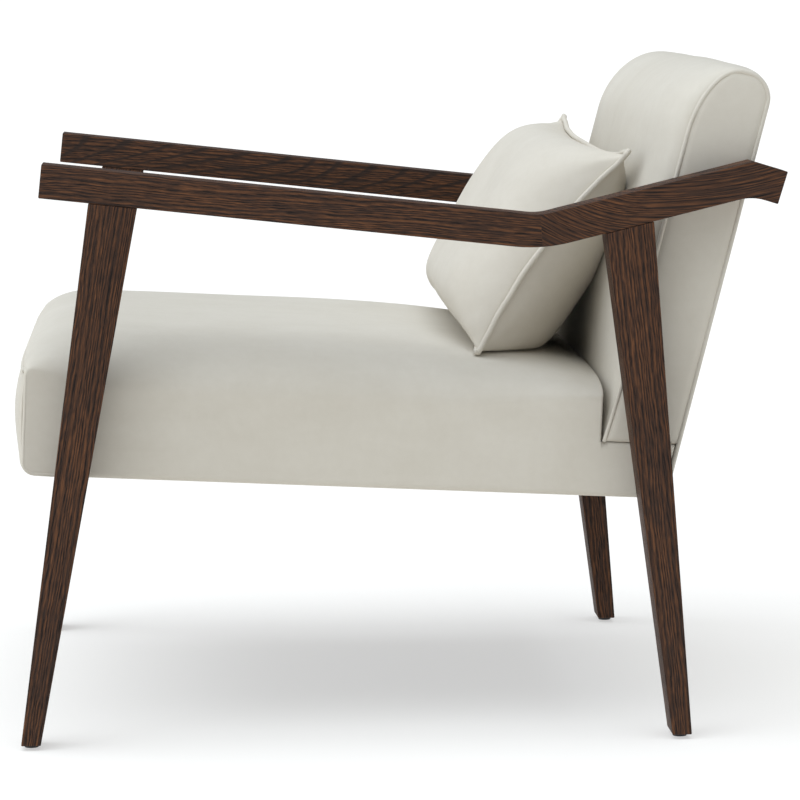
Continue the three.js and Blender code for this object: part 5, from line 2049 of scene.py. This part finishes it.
@dataclass(frozen=True)
class Studio:
    """Floor, light and camera. The camera's place is in millimetres, and its angles are in radians."""

    place: Triple = (4155.4, -221.0, 814.1)
    yaw: float = 0.0586
    pitch: float = 0.1184
    roll: float = -0.0056
    lens: float = 166.05
    sensor: float = 36.0
    nearest: float = 0.05
    farthest: float = 2000.0
    surround: float = 0.33
    air: Colour = (0.93, 0.97, 1.0)
    daylight: Colour = (0.88, 0.945, 1.03)
    side_colour: Colour = (0.90, 0.95, 1.0)
    floor_half: float = 400.0
    floor_drop: float = 0.0002

    def camera(self) -> None:
        """Sets the camera where the photograph was taken from."""
        look = Vector((-math.cos(self.yaw) * math.cos(self.pitch), math.sin(self.yaw) * math.cos(self.pitch),
                       -math.sin(self.pitch)))
        level = Vector((math.sin(self.yaw), math.cos(self.yaw), 0.0))
        upright = level.cross(look)
        right = math.cos(self.roll) * level + math.sin(self.roll) * upright
        up = -math.sin(self.roll) * level + math.cos(self.roll) * upright
        data = bpy.data.cameras.new("photo_camera")
        data.lens = self.lens
        data.sensor_width = self.sensor
        data.clip_start, data.clip_end = self.nearest, self.farthest
        camera = bpy.data.objects.new("photo_camera", data)
        bpy.context.scene.collection.objects.link(camera)
        turn = Matrix((right, up, -look)).transposed().to_4x4()
        camera.matrix_world = Matrix.Translation(Vector(self.place) * MM) @ turn
        bpy.context.scene.camera = camera

    def floor(self) -> None:
        """Lays the wide pale floor."""
        Bench.clear()
        bpy.ops.mesh.primitive_plane_add(size=2 * self.floor_half, location=(0.0, 0.0, -self.floor_drop))
        floor = Bench.settle(bpy.context.object, "studio_floor")
        floor.data.materials.append(FloorFinish().material())

    @staticmethod
    def sun(name: str, strength: float, spread: float, way: Triple, colour: Colour) -> None:
        """Hangs a soft lamp far away.

        Args:
            name: Its name.
            strength: How strongly it shines.
            spread: How wide it is, in degrees as seen from the chair.
            way: The direction that it shines in.
            colour: Its colour.
        """
        data = bpy.data.lights.new(name, "SUN")
        data.energy = strength
        data.color = colour
        data.angle = math.radians(spread)
        lamp = bpy.data.objects.new(name, data)
        lamp.rotation_mode = "QUATERNION"
        lamp.rotation_quaternion = Vector(way).normalized().to_track_quat("-Z", "Y")
        bpy.context.scene.collection.objects.link(lamp)

    def build(self) -> None:
        """Sets up floor, light, camera and the plain display of colours."""
        self.camera()
        self.floor()
        world = bpy.data.worlds.new("studio_air")
        world.use_nodes = True
        background = world.node_tree.nodes["Background"]
        background.inputs["Color"].default_value = (*self.air, 1.0)
        background.inputs["Strength"].default_value = self.surround
        bpy.context.scene.world = world
        self.sun("overhead_light", 2.15, 70.0, (-0.13, 0.16, -1.0), self.daylight)
        self.sun("front_light", 0.97, 70.0, (-0.16, 1.0, -0.50), self.daylight)
        self.sun("side_light", 0.33, 60.0, (-1.0, 0.25, -1.30), self.side_colour)
        bpy.context.scene.view_settings.view_transform = "Standard"


def main() -> None:
    """Builds the chair's sub-assemblies in order."""
    logging.basicConfig(level=logging.INFO, format="%(name)s %(message)s")
    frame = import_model()
    plan = ChairPlan()
    velvet = ShortPileVelvet("pale_velvet").material()
    cushion_velvet = ShortPileVelvet(
        "cushion_velvet", (0.665, 0.620, 0.536), (0.608, 0.560, 0.474)).material()
    lining = PlainFinish("black_lining", (0.012, 0.012, 0.013), (0.03, 0.03, 0.032), 0.85,
                         stretch=(400.0, 400.0, 400.0)).material()
    moulded = PlainFinish("black_glide", (0.010, 0.010, 0.010), (0.020, 0.020, 0.020), 0.42).material()
    for side, word in ((1, "left"), (-1, "right")):
        SideFrame(plan, side, word).build("chair", moulded)
    seat, back = SeatUpholstery(plan), BackUpholstery(plan)
    seat.build("chair", velvet, lining)
    back.build("chair", velvet)
    LooseCushion(plan, seat, back).build("cushion", cushion_velvet)
    stood_for = {name for name in frame["nodes"] if frame["nodes"][name].hide_render}
    HiddenWorks({name: node for name, node in frame["nodes"].items() if name not in stood_for}).build()
    Studio().build()


if __name__ == "__main__":
    main()
